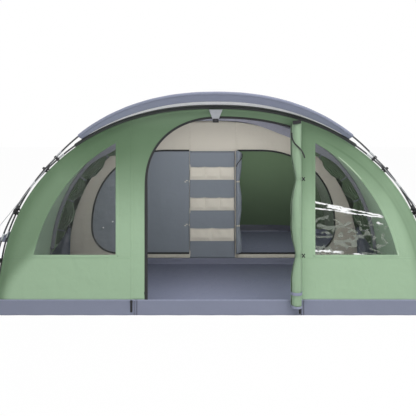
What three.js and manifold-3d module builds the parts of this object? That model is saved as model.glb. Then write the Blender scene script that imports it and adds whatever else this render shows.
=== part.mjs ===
// A family tunnel tent on four arched poles: fly, front panel with a rolled door, two clear windows,
// a brow over the front, two bedrooms behind an inner wall, groundsheets, guylines and pegs.
// Units are millimetres. X is to the right, Y runs to the back, Z is up, and Z = 0 is the ground.
// The origin lies on the ground under the middle of the living area.

import * as THREE from 'three';
import { mergeVertices } from 'three/addons/utils/BufferGeometryUtils.js';
import Module from 'manifold-3d';

const wasm = await Module();
wasm.setup();

// ---------------------------------------------------------------- driving dimensions

const GAP = 0.3; // between two pieces that touch
const OVERSHOOT = 1; // of a cutting tool past the piece it cuts
const SAME = 1e-9; // how near a facet's edge counts as on it

// The arch: a superellipse that the fly, its poles and the inner tent follow.
const FLY_HALF_WIDTH = 2079;
const FLY_HEIGHT = 1962;
const ARCH_POWER = 2.25;
const HALF_FACETS = 24; // flat facets from the crown to one foot
const ROOF_FACETS = 10; // of these, the ones that the roof covers on each side

// Stations along Y.
const FRONT_Y = -870;
const ARCH_SETBACK = 20; // from the front of the fly to the front pole
const MIDDLE_ARCH = 1470; // behind the front
const INNER_WALL = 1740;
const REAR_ARCH = 3500;

// Fabric.
const FLY_THICKNESS = 4;
const PANEL_THICKNESS = 4;
const INNER_THICKNESS = 3;

// Poles and their sleeves.
const POLE_RADIUS = 8;
const POLE_SIDES = 8;
const SLEEVE_WALL = 8;
const POLE_BOW = 46; // how much further from the fly a leg stands than the crown does
const BOW_START = 0.45; // shares of the way from the crown to the foot
const BOW_END = 0.85;
const POLE_JOINT = 0.45;

// The brow pole, which leans forward over the crown and crosses the front pole on the way down.
const BROW_FORWARD = 250;
const BROW_FOOT_BACK = 140;
const BROW_RISE = 82; // above the front pole at the crown
const BROW_CROSSING = 0.5;
const BROW_SETTLE = 0.25; // share of the arch over which it then closes in on the front pole
const BROW_CROSSING_GAP = 3;
const BROW_END = 0.386;
const BROW_THICKNESS = 3;
const BROW_SEAM = 0.6;

// The front panel.
const SKIRT_HEIGHT = 148;
const LEFT_SEAM_X = -800;
const RIGHT_SEAM_X = 830;
const SILL_LEFT_X = -761;
const WINDOW_SIDE_MARGIN = 279;
const WINDOW_TOP_MARGIN = 102;
const WINDOW_BOTTOM = 562;
const WINDOW_INNER_EDGE = 938;
const WINDOW_THICKNESS = 2;

// The front door's opening.
const DOOR_LEFT_X = -660;
const DOOR_RIGHT_X = 800;
const DOOR_SPRING = 1250; // where the jamb starts to curve
const DOOR_TOP = 1881;
const DOOR_TOP_X = 50;
const DOOR_CORNER_POWER = 2.2;
const DOOR_TOP_FALL = 119; // of the top edge on its way to the right

// The rolled front door and its ties.
const ROLL_RADIUS = 55;
const ROLL_WAIST = 28;
const ROLL_X = 759;
const ROLL_BOTTOM = 90;
const ROLL_TOP = 1846;
const TIE_HEIGHTS = [592, 1305];
const TIE_SPREAD = 150; // half the height over which a tie pinches the roll
const TOGGLE_RADIUS = 4.5;
const TOGGLE_LENGTH = 28;
const TOGGLE_PLAY = 4;

// The patch and buckle above the door.
const PEAK_X = -16;
const PEAK_TOP_WIDTH = 133;
const PEAK_TIP_WIDTH = 59;
const PEAK_LENGTH = 80;
const PEAK_THICKNESS = 3;
const BUCKLE_SIZE = 30;
const BUCKLE_DEPTH = 9;

// Zip sliders.
const SLIDER_WIDTH = 12;
const SLIDER_LENGTH = 22;
const SLIDER_DEPTH = 7;
const SLIDER_EDGE = 6; // from the opening's edge to the slider
const DOOR_SLIDER_BOTTOM = 200;
const BEDROOM_SLIDER_X = -430;

// The inner tent.
const INNER_SIDE_GAP = 159;
const INNER_TOP_GAP = 62;
const INNER_CANOPY_LENGTH = 1710;
const INNER_BACK_DEPTH = 400;
const INNER_BACK_POWER = 4;
const SHEET_THICKNESS = 3;
const LIVING_SHEET_RIM = 80;
const BEDROOM_SHEET_RIM = 120;
const BEDROOM_FRONT_RIM = 80;
const SHEET_CORNER_POWER = 2.8;

// The bedroom doors: a straight side by the organiser and a round outer side.
const BEDROOM_DOOR_INNER_X = 320;
const BEDROOM_DOOR_OUTER_X = 1610;
const BEDROOM_DOOR_BOTTOM = 146;
const BEDROOM_DOOR_TOP = 1508;
const BEDROOM_DOOR_WIDEST = 500; // height of its widest place
const BEDROOM_DOOR_TOP_X = 600; // where the top edge starts to curve
const BEDROOM_DOOR_FOOT_X = 1250; // where the bottom edge starts to curve
const BEDROOM_DOOR_POWER = 2.2;
const DOOR_HINGE_GAP = 3.5; // the flap's sewn edge, beside the wall
const BEDROOM_ROLL_RADIUS = 45;
const BEDROOM_ROLL_X = 333;
const BEDROOM_ROLL_WAIST = 32;
const BEDROOM_TIE_HEIGHTS = [520, 1100];

// The organiser between the two bedroom doors.
const ORGANISER_LEFT = -316;
const ORGANISER_RIGHT = 284;
const ORGANISER_TOP = 1500;
const ORGANISER_BOTTOM = 84;
const POCKET_TOP = 1294;
const POCKET_PITCH = 406;
const POCKET_HEIGHT = 175;
const POCKET_COUNT = 3;
const POCKET_DEPTH = 24;
const POCKET_WALL = 3;

// The divider curtains, tied up along the middle arch, and the tape that they hang from.
const TAPE_WIDTH = 40;
const TAPE_THICKNESS = 3;
const CURTAIN_WIDTH = 150;
const CURTAIN_DEPTH = 76;
const CURTAIN_FIRST_FACET = 4;
const CURTAIN_LAST_FACET = 22;
const CURTAIN_SIDES = 8;

// The rear of the fly.
const REAR_DEPTH = 730;
const REAR_POWER = 3;
const REAR_CORNER = 0.995;
const VENT_WIDTH = 400;
const VENT_LENGTH = 260;
const VENT_THICKNESS = 3;
const VENT_DOWN = 420; // from the crown, along the slope

// The hoods over the side vents.
const HOOD_HINGE_HEIGHT = 780;
const HOOD_START = 150; // behind the front
const HOOD_LENGTH = 500;
const HOOD_REACH = 270;
const HOOD_SLOPE = 27; // degrees below level
const HOOD_THICKNESS = 3;
const HOOD_HEM_RADIUS = 5;

// Clips that hold the fly to the front pole.
const CLIP_PLACES = { upper: 0.53, lower: 0.7 };
const CLIP_CLEARANCE = 0.4;
const CLIP_WALL = 2;
const CLIP_LENGTH = 30;
const CLIP_ARM_LENGTH = 18;
const CLIP_ARM_WIDTH = 12;

// Guylines, runners and pegs.
const GUYLINE_RADIUS = 1.5;
const GUYLINE_SPREAD = 8; // from the middle to each strand of the loop
const ANCHOR_PLACE = 0.47;
const ANCHOR_STEP = 0.02; // share over which the pole's way there is measured
const PEG_X = 2560;
const PEG_FORWARD = 600; // in front of the fly
const LOOP_HEIGHT = 16; // of the guyline's loop round its peg
const RUNNER_DISTANCE = 150; // from the anchor, along the line
const RUNNER_LENGTH = 44;
const RUNNER_WIDTH = 28;
const RUNNER_DEPTH = 9;
const RUNNER_BORE = 2.2;
const PEG_RADIUS = 3.5;
const PEG_SHAFT = 34; // from the loop to the hook
const PEG_HOOK_RADIUS = 11;

// ---------------------------------------------------------------- worked out from these

const behindFront = (distance) => FRONT_Y + distance;
const FLY = { halfWidth: FLY_HALF_WIDTH, height: FLY_HEIGHT };
const INNER = { halfWidth: FLY_HALF_WIDTH - INNER_SIDE_GAP, height: FLY_HEIGHT - INNER_TOP_GAP };
const WINDOW = { halfWidth: FLY_HALF_WIDTH - WINDOW_SIDE_MARGIN, height: FLY_HEIGHT - WINDOW_TOP_MARGIN };
const FLAT = Math.cos(Math.PI / POLE_SIDES); // how far out a flat lies, as a share of the corners' radius
const SLEEVE_BORE = POLE_RADIUS + GAP / FLAT;
const SLEEVE_RADIUS = SLEEVE_BORE + SLEEVE_WALL;
const CROWN_OFFSET = SLEEVE_RADIUS * FLAT + GAP;
const ROOF_END = ROOF_FACETS / HALF_FACETS;
const FLY_BACK = behindFront(REAR_ARCH + ARCH_SETBACK);
const INNER_WALL_FRONT = behindFront(INNER_WALL);
const INNER_WALL_BACK = INNER_WALL_FRONT + INNER_THICKNESS;
const INNER_CANOPY_FRONT = INNER_WALL_BACK + GAP;
const INNER_CANOPY_BACK = INNER_CANOPY_FRONT + INNER_CANOPY_LENGTH;
const PANEL_BACK = FRONT_Y + PANEL_THICKNESS;
const FRONT_ARCH_Y = behindFront(ARCH_SETBACK);
const MIDDLE_ARCH_Y = behindFront(MIDDLE_ARCH);
const REAR_ARCH_Y = behindFront(REAR_ARCH);
const FAR = 2 * (PEG_X + PEG_FORWARD + REAR_ARCH + REAR_DEPTH);

// ---------------------------------------------------------------- materials

const MATERIALS = {
  green_fabric: { color: 0x9ab497, roughness: 0.85, metalness: 0 },
  grey_fabric: { color: 0x7f849a, roughness: 0.85, metalness: 0 },
  dark_fabric: { color: 0x3e4140, roughness: 0.8, metalness: 0 },
  beige_fabric: { color: 0xa39e94, roughness: 0.9, metalness: 0 },
  slate_fabric: { color: 0x6b7079, roughness: 0.9, metalness: 0 },
  curtain_fabric: { color: 0x4b5c42, roughness: 0.9, metalness: 0 },
  groundsheet: { color: 0x777a8b, roughness: 0.6, metalness: 0 },
  clear_film: { color: 0xc8d0cc, roughness: 0.1, metalness: 0 },
  pole: { color: 0x3c3e42, roughness: 0.45, metalness: 0 },
  black_plastic: { color: 0x18191b, roughness: 0.5, metalness: 0 },
  cord: { color: 0xb4b6b8, roughness: 0.8, metalness: 0 },
  steel: { color: 0xa8abae, roughness: 0.35, metalness: 1 },
};

const tent = new THREE.Group();
const materials = Object.fromEntries(Object.entries(MATERIALS).map(([name, values]) => {
  return [name, new THREE.MeshStandardMaterial({ name, ...values })];
}));

/** Adds a piece to the tent under its own name. */
function add(name, geometry, material) {
  const mesh = new THREE.Mesh(geometry, materials[material]);
  mesh.name = name;
  tent.add(mesh);
  return mesh;
}

// ---------------------------------------------------------------- solids

/** A closed geometry as a solid that can be joined and cut. */
function solid(geometry) {
  const bare = geometry.index ? geometry.clone() : geometry;
  bare.deleteAttribute('normal');
  bare.deleteAttribute('uv');
  const merged = mergeVertices(bare, 1e-4);
  const vertProperties = new Float32Array(merged.attributes.position.array);
  const triVerts = new Uint32Array(merged.index.array);
  return new wasm.Manifold(new wasm.Mesh({ numProp: 3, vertProperties, triVerts }));
}

/** A solid as a geometry. */
function geometryOf(body) {
  const mesh = body.getMesh();
  const points = [];
  for (let i = 0; i < mesh.vertProperties.length; i += mesh.numProp) {
    points.push(...mesh.vertProperties.slice(i, i + 3));
  }
  const geometry = new THREE.BufferGeometry();
  geometry.setAttribute('position', new THREE.Float32BufferAttribute(points, 3));
  geometry.setIndex(Array.from(mesh.triVerts));
  geometry.computeVertexNormals();
  return geometry;
}

/** The first of the geometries, changed by each of the others in turn. */
function combine(method, [first, ...others]) {
  return geometryOf(others.reduce((body, other) => body[method](solid(other)), solid(first)));
}

const join = (...geometries) => combine('add', geometries);
const cut = (...geometries) => combine('subtract', geometries);
const common = (...geometries) => combine('intersect', geometries);

/** A box between two corners. */
function block([x0, y0, z0], [x1, y1, z1]) {
  const geometry = new THREE.BoxGeometry(x1 - x0, y1 - y0, z1 - z0);
  return geometry.translate((x0 + x1) / 2, (y0 + y1) / 2, (z0 + z1) / 2);
}

/** A piece cut off level with the ground. */
function aboveGround(geometry) {
  return cut(geometry, block([-FAR, -FAR, -FAR], [FAR, FAR, 0]));
}

/** An outline in X and Z, as thick as the way from y0 to y1. */
function plate(shape, y0, y1, curveSegments = 12) {
  const geometry = new THREE.ExtrudeGeometry(shape, { depth: y1 - y0, bevelEnabled: false, curveSegments });
  return geometry.rotateX(Math.PI / 2).translate(0, y1, 0);
}

/** A polygon with that many sides, its corners on a circle or an ellipse. */
function roundSection(sides, radiusX, radiusY = radiusX) {
  const corners = Array.from({ length: sides }, (_, i) => {
    const angle = ((i + 0.5) / sides) * 2 * Math.PI;
    return new THREE.Vector2(radiusX * Math.cos(angle), radiusY * Math.sin(angle));
  });
  return new THREE.Shape(corners);
}

/** A round section with a round hole in it. */
function pipeSection(sides, outer, inner) {
  const section = roundSection(sides, outer);
  section.holes.push(new THREE.Path(roundSection(sides, inner).getPoints()));
  return section;
}

/** The curve through a list of points, stepped from one to the next, with its normals turned towards Y. */
class PointRoute extends THREE.Curve {
  constructor(points) {
    super();
    this.points = points;
  }

  getPoint(t, target = new THREE.Vector3()) {
    const at = Math.min(Math.max(t, 0), 1) * (this.points.length - 1);
    const i = Math.min(Math.floor(at), this.points.length - 2);
    return target.copy(this.points[i]).lerp(this.points[i + 1], at - i);
  }

  getUtoTmapping(u) {
    return u;
  }

  computeFrenetFrames(segments) {
    const tangents = Array.from({ length: segments + 1 }, (_, i) => this.getTangentAt(i / segments));
    const normals = tangents.map((tangent) => {
      return new THREE.Vector3(0, 1, 0).addScaledVector(tangent, -tangent.y).normalize();
    });
    const binormals = tangents.map((tangent, i) => new THREE.Vector3().crossVectors(tangent, normals[i]));
    return { tangents, normals, binormals };
  }
}

/** A section swept from point to point. */
function sweep(points, section) {
  const extrudePath = new PointRoute(points);
  return new THREE.ExtrudeGeometry(section, { steps: points.length - 1, extrudePath, bevelEnabled: false });
}

/** A closed skin between two grids of points of the same size. */
function skin(outer, inner) {
  const rows = outer.length;
  const columns = outer[0].length;
  const points = [...outer.flat(), ...inner.flat()];
  const at = (layer, i, j) => layer * rows * columns + i * columns + j;
  const faces = [];
  const quad = (a, b, c, d) => faces.push(a, b, c, a, c, d);
  for (let i = 0; i < rows - 1; i += 1) {
    for (let j = 0; j < columns - 1; j += 1) {
      quad(at(0, i, j), at(0, i + 1, j), at(0, i + 1, j + 1), at(0, i, j + 1));
      quad(at(1, i, j), at(1, i, j + 1), at(1, i + 1, j + 1), at(1, i + 1, j));
    }
    const last = columns - 1;
    quad(at(0, i, 0), at(1, i, 0), at(1, i + 1, 0), at(0, i + 1, 0));
    quad(at(0, i, last), at(0, i + 1, last), at(1, i + 1, last), at(1, i, last));
  }
  for (let j = 0; j < columns - 1; j += 1) {
    const last = rows - 1;
    quad(at(0, 0, j), at(0, 0, j + 1), at(1, 0, j + 1), at(1, 0, j));
    quad(at(0, last, j), at(1, last, j), at(1, last, j + 1), at(0, last, j + 1));
  }
  const geometry = new THREE.BufferGeometry().setFromPoints(points);
  geometry.setIndex(volumeOf(points, faces) > 0 ? faces : faces.reverse());
  geometry.computeVertexNormals();
  return geometry;
}

/** The signed volume that a list of triangles encloses. */
function volumeOf(points, faces) {
  let volume = 0;
  const normal = new THREE.Vector3();
  for (let i = 0; i < faces.length; i += 3) {
    normal.crossVectors(points[faces[i + 1]], points[faces[i + 2]]);
    volume += points[faces[i]].dot(normal) / 6;
  }
  return volume;
}

// ---------------------------------------------------------------- the arch

const smooth = (low, high, value) => THREE.MathUtils.smoothstep(value, low, high);

/** The arch's point at a share of the way from the crown (0) to the right (1) or left (-1) foot. */
function archPoint(arch, share, offset, y) {
  const turn = (Math.abs(share) * Math.PI) / 2;
  const x = Math.sign(share) * Math.sin(turn) ** (2 / ARCH_POWER);
  const z = Math.max(Math.cos(turn), 0) ** (2 / ARCH_POWER);
  const normal = new THREE.Vector3(
    (Math.sign(share) * Math.abs(x) ** (ARCH_POWER - 1)) / arch.halfWidth,
    0,
    z ** (ARCH_POWER - 1) / arch.height,
  ).normalize();
  return new THREE.Vector3(arch.halfWidth * x, y, arch.height * z).addScaledVector(normal, offset);
}

/** The share at which the arch has a height. */
const shareAtHeight = (arch, height) => (Math.acos((height / arch.height) ** (ARCH_POWER / 2)) * 2) / Math.PI;

/** The shares from one end to the other, with every facet's edge between them. */
function shares(from, to) {
  const list = [from];
  for (let i = Math.floor(from * HALF_FACETS) + 1; i < to * HALF_FACETS - 1e-6; i += 1) {
    list.push(i / HALF_FACETS);
  }
  return [...list, to];
}

/** A route by share that runs straight from one facet's edge to the next. */
function faceted(route) {
  return (share) => {
    const at = share * HALF_FACETS;
    const low = Math.floor(at + SAME);
    const first = route(low / HALF_FACETS);
    return at - low < SAME ? first : first.lerp(route((low + 1) / HALF_FACETS), at - low);
  };
}

/** The point on the arch's facets at a share. */
function facetPoint(arch, share, offset, y) {
  return faceted((edge) => archPoint(arch, edge, offset, y))(share);
}

/** The closed outline under the arch. */
function archOutline(arch, offset) {
  return new THREE.Shape(shares(-1, 1).map((share) => {
    const point = facetPoint(arch, share, offset, 0);
    return new THREE.Vector2(point.x, point.z);
  }));
}

/** Half the width under the arch's facets at a height. */
function halfWidthAt(arch, height, offset) {
  const points = shares(0, 1).map((share) => facetPoint(arch, share, offset, 0));
  const low = points.findIndex((point) => point.z <= height);
  const [upper, lower] = [points[low - 1], points[low]];
  return THREE.MathUtils.mapLinear(height, upper.z, lower.z, upper.x, lower.x);
}

/** A stretch of the arch's skin, from share to share and from y0 to y1. */
function archBand(arch, from, to, outside, thickness, y0, y1) {
  const edge = (offset, y) => shares(from, to).map((share) => facetPoint(arch, share, offset, y));
  const grid = (offset) => [edge(offset, y0), edge(offset, y1)];
  return skin(grid(outside), grid(outside - thickness));
}

/** How far outside the fly a pole's middle runs. */
const poleOffset = (share) => CROWN_OFFSET + POLE_BOW * smooth(BOW_START, BOW_END, Math.abs(share));

/** The middle of a pole that stands in one plane. */
const uprightPole = (y) => faceted((share) => archPoint(FLY, share, poleOffset(share), y));

/** The middle of the brow pole: forward and high at the crown, behind the front pole at the feet. */
const browPole = faceted((share) => {
  const down = Math.abs(share);
  const crossed = 2 * POLE_RADIUS + BROW_CROSSING_GAP;
  const rise = BROW_RISE - crossed;
  const outward = down < BROW_CROSSING
    ? crossed + rise * (1 - (down / BROW_CROSSING) ** 2)
    : crossed * (1 - smooth(BROW_CROSSING, BROW_CROSSING + BROW_SETTLE, down));
  const travel = BROW_FORWARD + BROW_FOOT_BACK;
  const ease = Math.log(Math.acos(1 - (2 * BROW_FORWARD) / travel) / Math.PI) / Math.log(BROW_CROSSING);
  const y = FRONT_ARCH_Y - BROW_FORWARD + (travel * (1 - Math.cos(Math.PI * down ** ease))) / 2;
  return archPoint(FLY, share, poleOffset(share) + outward, y);
});

// ---------------------------------------------------------------- poles and sleeves

/** One length of a pole between two shares, stopping short of its neighbours. */
function poleLength(name, route, from, to) {
  const points = shares(from, to).map(route);
  const trim = (end, next) => end.addScaledVector(next.clone().sub(end).normalize(), GAP);
  if (from > -1) trim(points[0], points[1]);
  if (to < 1) trim(points.at(-1), points.at(-2));
  add(name, aboveGround(sweep(points, roundSection(POLE_SIDES, POLE_RADIUS))), 'pole');
}

/** A sleeve round a pole's crown. */
function sleeve(name, route, end, material) {
  const section = pipeSection(POLE_SIDES, SLEEVE_RADIUS, SLEEVE_BORE);
  add(name, sweep(shares(-end, end).map(route), section), material);
}

function poles() {
  const threePart = { front: uprightPole(FRONT_ARCH_Y), brow: browPole };
  for (const [name, route] of Object.entries(threePart)) {
    poleLength(`pole_${name}_left`, route, -1, -POLE_JOINT);
    poleLength(`pole_${name}_crown`, route, -POLE_JOINT, POLE_JOINT);
    poleLength(`pole_${name}_right`, route, POLE_JOINT, 1);
  }
  const twoPart = { middle: uprightPole(MIDDLE_ARCH_Y), rear: uprightPole(REAR_ARCH_Y) };
  for (const [name, route] of Object.entries(twoPart)) {
    poleLength(`pole_${name}_left`, route, -1, 0);
    poleLength(`pole_${name}_right`, route, 0, 1);
    sleeve(`sleeve_${name}`, route, ROOF_END, 'grey_fabric');
  }
  sleeve('sleeve_front', threePart.front, ROOF_END, 'dark_fabric');
  sleeve('sleeve_brow', threePart.brow, BROW_END, 'grey_fabric');
}

/** The brow: fabric from the brow pole's sleeve back to the front pole's sleeve. */
function brow() {
  const reach = SLEEVE_RADIUS + BROW_SEAM;
  const columns = shares(-BROW_END, BROW_END);
  const grid = (side) => {
    const edges = columns.map((share) => {
      const front = browPole(share);
      const back = uprightPole(FRONT_ARCH_Y)(share);
      const way = back.clone().sub(front).normalize();
      const along = archPoint(FLY, share + 0.01, 0, 0).sub(archPoint(FLY, share - 0.01, 0, 0)).normalize();
      const up = new THREE.Vector3().crossVectors(way, along).multiplyScalar((side * BROW_THICKNESS) / 2);
      return [front.addScaledVector(way, reach).add(up), back.addScaledVector(way, -reach).add(up)];
    });
    return [0, 1].map((edge) => edges.map((pair) => pair[edge]));
  };
  add('front_brow', skin(grid(1), grid(-1)), 'grey_fabric');
}

/** A clip: a ring round the front pole, with an arm that ends on the fly. */
function clips() {
  const route = uprightPole(FRONT_ARCH_Y);
  const inner = POLE_RADIUS + CLIP_CLEARANCE;
  for (const [side, sign] of Object.entries({ left: -1, right: 1 })) {
    for (const [place, share] of Object.entries(CLIP_PLACES)) {
      const middle = (Math.floor(share * HALF_FACETS) + 0.5) / HALF_FACETS;
      const centre = route(sign * middle);
      const edges = [-0.5, 0.5].map((step) => route(sign * (middle + step / HALF_FACETS)));
      const along = edges[1].clone().sub(edges[0]).normalize();
      const outward = new THREE.Vector3(-along.z, 0, along.x).multiplyScalar(sign);
      const surface = facetPoint(FLY, sign * middle, 0, FRONT_ARCH_Y);
      const drop = centre.clone().sub(surface).dot(outward);
      const section = pipeSection(2 * POLE_SIDES, inner + CLIP_WALL, inner);
      const ring = new THREE.ExtrudeGeometry(section, { depth: CLIP_LENGTH, bevelEnabled: false });
      ring.translate(0, 0, -CLIP_LENGTH / 2);
      const arm = block(
        [-drop + GAP * 2, -CLIP_ARM_WIDTH / 2, -CLIP_ARM_LENGTH / 2],
        [-inner - CLIP_WALL / 4, CLIP_ARM_WIDTH / 2, CLIP_ARM_LENGTH / 2],
      );
      const third = new THREE.Vector3().crossVectors(along, outward);
      const frame = new THREE.Matrix4().makeBasis(outward, third, along).setPosition(centre);
      add(`clip_${side}_${place}`, join(ring, arm).applyMatrix4(frame), 'black_plastic');
    }
  }
}

// ---------------------------------------------------------------- the fly

function fly() {
  const seam = GAP / 2 / (FLY_HALF_WIDTH + FLY_HEIGHT);
  const band = (from, to) => archBand(FLY, from, to, 0, FLY_THICKNESS, FRONT_Y, FLY_BACK - GAP);
  add('fly_roof', band(-ROOF_END + seam, ROOF_END - seam), 'grey_fabric');
  add('fly_wall_left', band(-1, -ROOF_END - seam), 'green_fabric');
  add('fly_wall_right', band(ROOF_END + seam, 1), 'green_fabric');
}

/** A back wall that slopes from an arch down to a rounded hem on the ground. */
function slopedBack(arch, y, depth, power, thickness) {
  const grid = (inset) => {
    const columns = shares(-REAR_CORNER, REAR_CORNER);
    const top = columns.map((share) => facetPoint(arch, share, -inset, y));
    const bottom = columns.map((share) => {
      const turn = (Math.abs(share) * Math.PI) / 2;
      const x = Math.sign(share) * (arch.halfWidth - inset) * Math.sin(turn) ** (2 / power);
      return new THREE.Vector3(x, y + (depth - inset) * Math.cos(turn) ** (2 / power), 0);
    });
    return [top, bottom];
  };
  return skin(grid(0), grid(thickness));
}

/** The rear panel, and the vent flap that hangs on its flat middle facet. */
function rear() {
  add('rear_panel', slopedBack(FLY, FLY_BACK, REAR_DEPTH, REAR_POWER, FLY_THICKNESS), 'green_fabric');
  const slope = Math.atan2(REAR_DEPTH, FLY_HEIGHT);
  const flap = block([-VENT_WIDTH / 2, GAP * 2, -VENT_LENGTH], [VENT_WIDTH / 2, GAP * 2 + VENT_THICKNESS, 0]);
  flap.translate(0, 0, -VENT_DOWN).rotateX(slope).translate(0, FLY_BACK, FLY_HEIGHT);
  add('rear_vent_flap', flap, 'grey_fabric');
}

// ---------------------------------------------------------------- the front

/** The round-cornered outline of the front door's opening. */
function doorOutline() {
  const shape = new THREE.Shape();
  shape.moveTo(DOOR_RIGHT_X, 0);
  shape.lineTo(DOOR_RIGHT_X, DOOR_TOP - DOOR_TOP_FALL);
  const run = DOOR_RIGHT_X - DOOR_TOP_X;
  shape.bezierCurveTo(
    DOOR_RIGHT_X - run * 0.25, DOOR_TOP - DOOR_TOP_FALL * 0.4,
    DOOR_TOP_X + run * 0.4, DOOR_TOP,
    DOOR_TOP_X, DOOR_TOP,
  );
  const width = DOOR_TOP_X - DOOR_LEFT_X;
  cornerPoints(width, DOOR_TOP - DOOR_SPRING, DOOR_CORNER_POWER).forEach(([across, up]) => {
    shape.lineTo(DOOR_TOP_X - across, DOOR_SPRING + up);
  });
  shape.lineTo(DOOR_LEFT_X, 0);
  return shape;
}

/** A quarter of a superellipse, from straight up (0, height) to straight out (width, 0). */
function cornerPoints(width, height, power, steps = 10) {
  return Array.from({ length: steps }, (_, i) => {
    const turn = ((i + 1) / steps) * (Math.PI / 2);
    return [width * Math.sin(turn) ** (2 / power), height * Math.max(Math.cos(turn), 0) ** (2 / power)];
  });
}

/** What lies under the fly between two X values and two heights, as thick as the front panel. */
function frontPiece(x0, x1, z0, z1) {
  const under = plate(archOutline(FLY, -FLY_THICKNESS - GAP), FRONT_Y, PANEL_BACK);
  return common(under, block([x0, FRONT_Y - OVERSHOOT, z0], [x1, PANEL_BACK + OVERSHOOT, z1]));
}

/** A window's outline as a prism, smaller all round by inset. */
function windowPrism(sign, inset, y0, y1) {
  const under = plate(archOutline(WINDOW, -inset), y0, y1);
  const inner = sign * (WINDOW_INNER_EDGE + inset);
  const outer = sign * FLY_HALF_WIDTH;
  const frame = block(
    [Math.min(inner, outer), y0 - OVERSHOOT, WINDOW_BOTTOM + inset],
    [Math.max(inner, outer), y1 + OVERSHOOT, FLY_HEIGHT],
  );
  return common(under, frame);
}

function frontPanels() {
  const wide = FLY_HALF_WIDTH + OVERSHOOT;
  const high = FLY_HEIGHT + OVERSHOOT;
  const [front, back] = [FRONT_Y - OVERSHOOT, PANEL_BACK + OVERSHOOT];
  const bottom = SKIRT_HEIGHT + GAP;
  const sides = { left: [-1, -wide, LEFT_SEAM_X - GAP / 2], right: [1, RIGHT_SEAM_X + GAP / 2, wide] };
  const paneFront = FRONT_Y + (PANEL_THICKNESS - WINDOW_THICKNESS) / 2;
  for (const [side, [sign, x0, x1]] of Object.entries(sides)) {
    const panel = frontPiece(x0, x1, bottom, high);
    add(`front_panel_${side}`, cut(panel, windowPrism(sign, 0, front, back)), 'green_fabric');
    add(`window_${side}`, windowPrism(sign, GAP, paneFront, paneFront + WINDOW_THICKNESS), 'clear_film');
  }
  const opening = plate(doorOutline(), front, back);
  const surround = frontPiece(LEFT_SEAM_X + GAP / 2, RIGHT_SEAM_X - GAP / 2, bottom, high);
  add('door_surround', cut(surround, opening), 'green_fabric');
  add('skirt_left', frontPiece(-wide, SILL_LEFT_X - GAP / 2, 0, SKIRT_HEIGHT), 'grey_fabric');
  add('door_sill', frontPiece(SILL_LEFT_X + GAP / 2, RIGHT_SEAM_X - GAP / 2, 0, SKIRT_HEIGHT), 'grey_fabric');
  add('skirt_right', frontPiece(RIGHT_SEAM_X + GAP / 2, wide, 0, SKIRT_HEIGHT), 'grey_fabric');
}

/** An upright roll of cloth, pinched where its ties hold it. */
function clothRoll(radius, waist, bottom, top, tieHeights) {
  const sides = 10;
  const steps = 22;
  const profile = [new THREE.Vector2(0, bottom)];
  for (let i = 0; i <= steps; i += 1) {
    const z = THREE.MathUtils.lerp(bottom, top, i / steps);
    const pinch = Math.max(...tieHeights.map((tie) => 1 - smooth(0, TIE_SPREAD, Math.abs(z - tie))));
    profile.push(new THREE.Vector2(radius - (radius - waist) * pinch, z));
  }
  profile.push(new THREE.Vector2(0, top));
  return new THREE.LatheGeometry(profile, sides).rotateX(Math.PI / 2);
}

function rolledDoor() {
  const roll = clothRoll(ROLL_RADIUS, ROLL_WAIST, ROLL_BOTTOM, ROLL_TOP, TIE_HEIGHTS);
  add('front_door_rolled', roll.translate(ROLL_X, FRONT_Y - ROLL_RADIUS - GAP, 0), 'green_fabric');
  TIE_HEIGHTS.forEach((height, i) => {
    const toggle = new THREE.CylinderGeometry(TOGGLE_RADIUS, TOGGLE_RADIUS, TOGGLE_LENGTH, POLE_SIDES);
    const x = ROLL_X + ROLL_WAIST + TOGGLE_LENGTH / 2 + TOGGLE_PLAY;
    toggle.rotateX(Math.PI / 2).translate(x, FRONT_Y - TOGGLE_RADIUS - GAP, height);
    add(`door_toggle_${['lower', 'upper'][i]}`, toggle, 'black_plastic');
  });
}

/** The patch under the front sleeve's crown, with the buckle that hangs from it. */
function peakBuckle() {
  const top = FLY_HEIGHT - FLY_THICKNESS - GAP;
  const tip = top - PEAK_LENGTH;
  const patch = new THREE.Shape([
    new THREE.Vector2(PEAK_X - PEAK_TOP_WIDTH / 2, top),
    new THREE.Vector2(PEAK_X + PEAK_TOP_WIDTH / 2, top),
    new THREE.Vector2(PEAK_X + PEAK_TIP_WIDTH / 2, tip),
    new THREE.Vector2(PEAK_X - PEAK_TIP_WIDTH / 2, tip),
  ]);
  const back = FRONT_Y - GAP;
  const buckle = block(
    [PEAK_X - BUCKLE_SIZE / 2, back - BUCKLE_DEPTH, tip - BUCKLE_SIZE],
    [PEAK_X + BUCKLE_SIZE / 2, back, tip + PEAK_THICKNESS],
  );
  add('peak_buckle', join(plate(patch, back - PEAK_THICKNESS, back), buckle), 'slate_fabric');
}

/** The hoods over the side vents: a sheet from a hinge on the wall to a stiff hem. */
function ventHoods() {
  const share = shareAtHeight(FLY, HOOD_HINGE_HEIGHT);
  const y0 = behindFront(HOOD_START);
  for (const [side, sign] of Object.entries({ left: -1, right: 1 })) {
    const hinge = facetPoint(FLY, sign * share, HOOD_HEM_RADIUS + GAP * 2, y0);
    const pin = new THREE.CylinderGeometry(HOOD_HEM_RADIUS, HOOD_HEM_RADIUS, HOOD_LENGTH, POLE_SIDES);
    pin.translate(0, HOOD_LENGTH / 2, 0);
    const sheet = block(
      [0, 0, -HOOD_THICKNESS / 2],
      [HOOD_REACH, HOOD_LENGTH, HOOD_THICKNESS / 2],
    );
    const hood = join(pin, sheet, pin.clone().translate(HOOD_REACH, 0, 0));
    hood.rotateY(THREE.MathUtils.degToRad(HOOD_SLOPE));
    if (sign < 0) hood.rotateZ(Math.PI).translate(0, HOOD_LENGTH, 0);
    add(`vent_hood_${side}`, hood.translate(hinge.x, hinge.y, hinge.z), 'grey_fabric');
  }
}

// ---------------------------------------------------------------- inside

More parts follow.
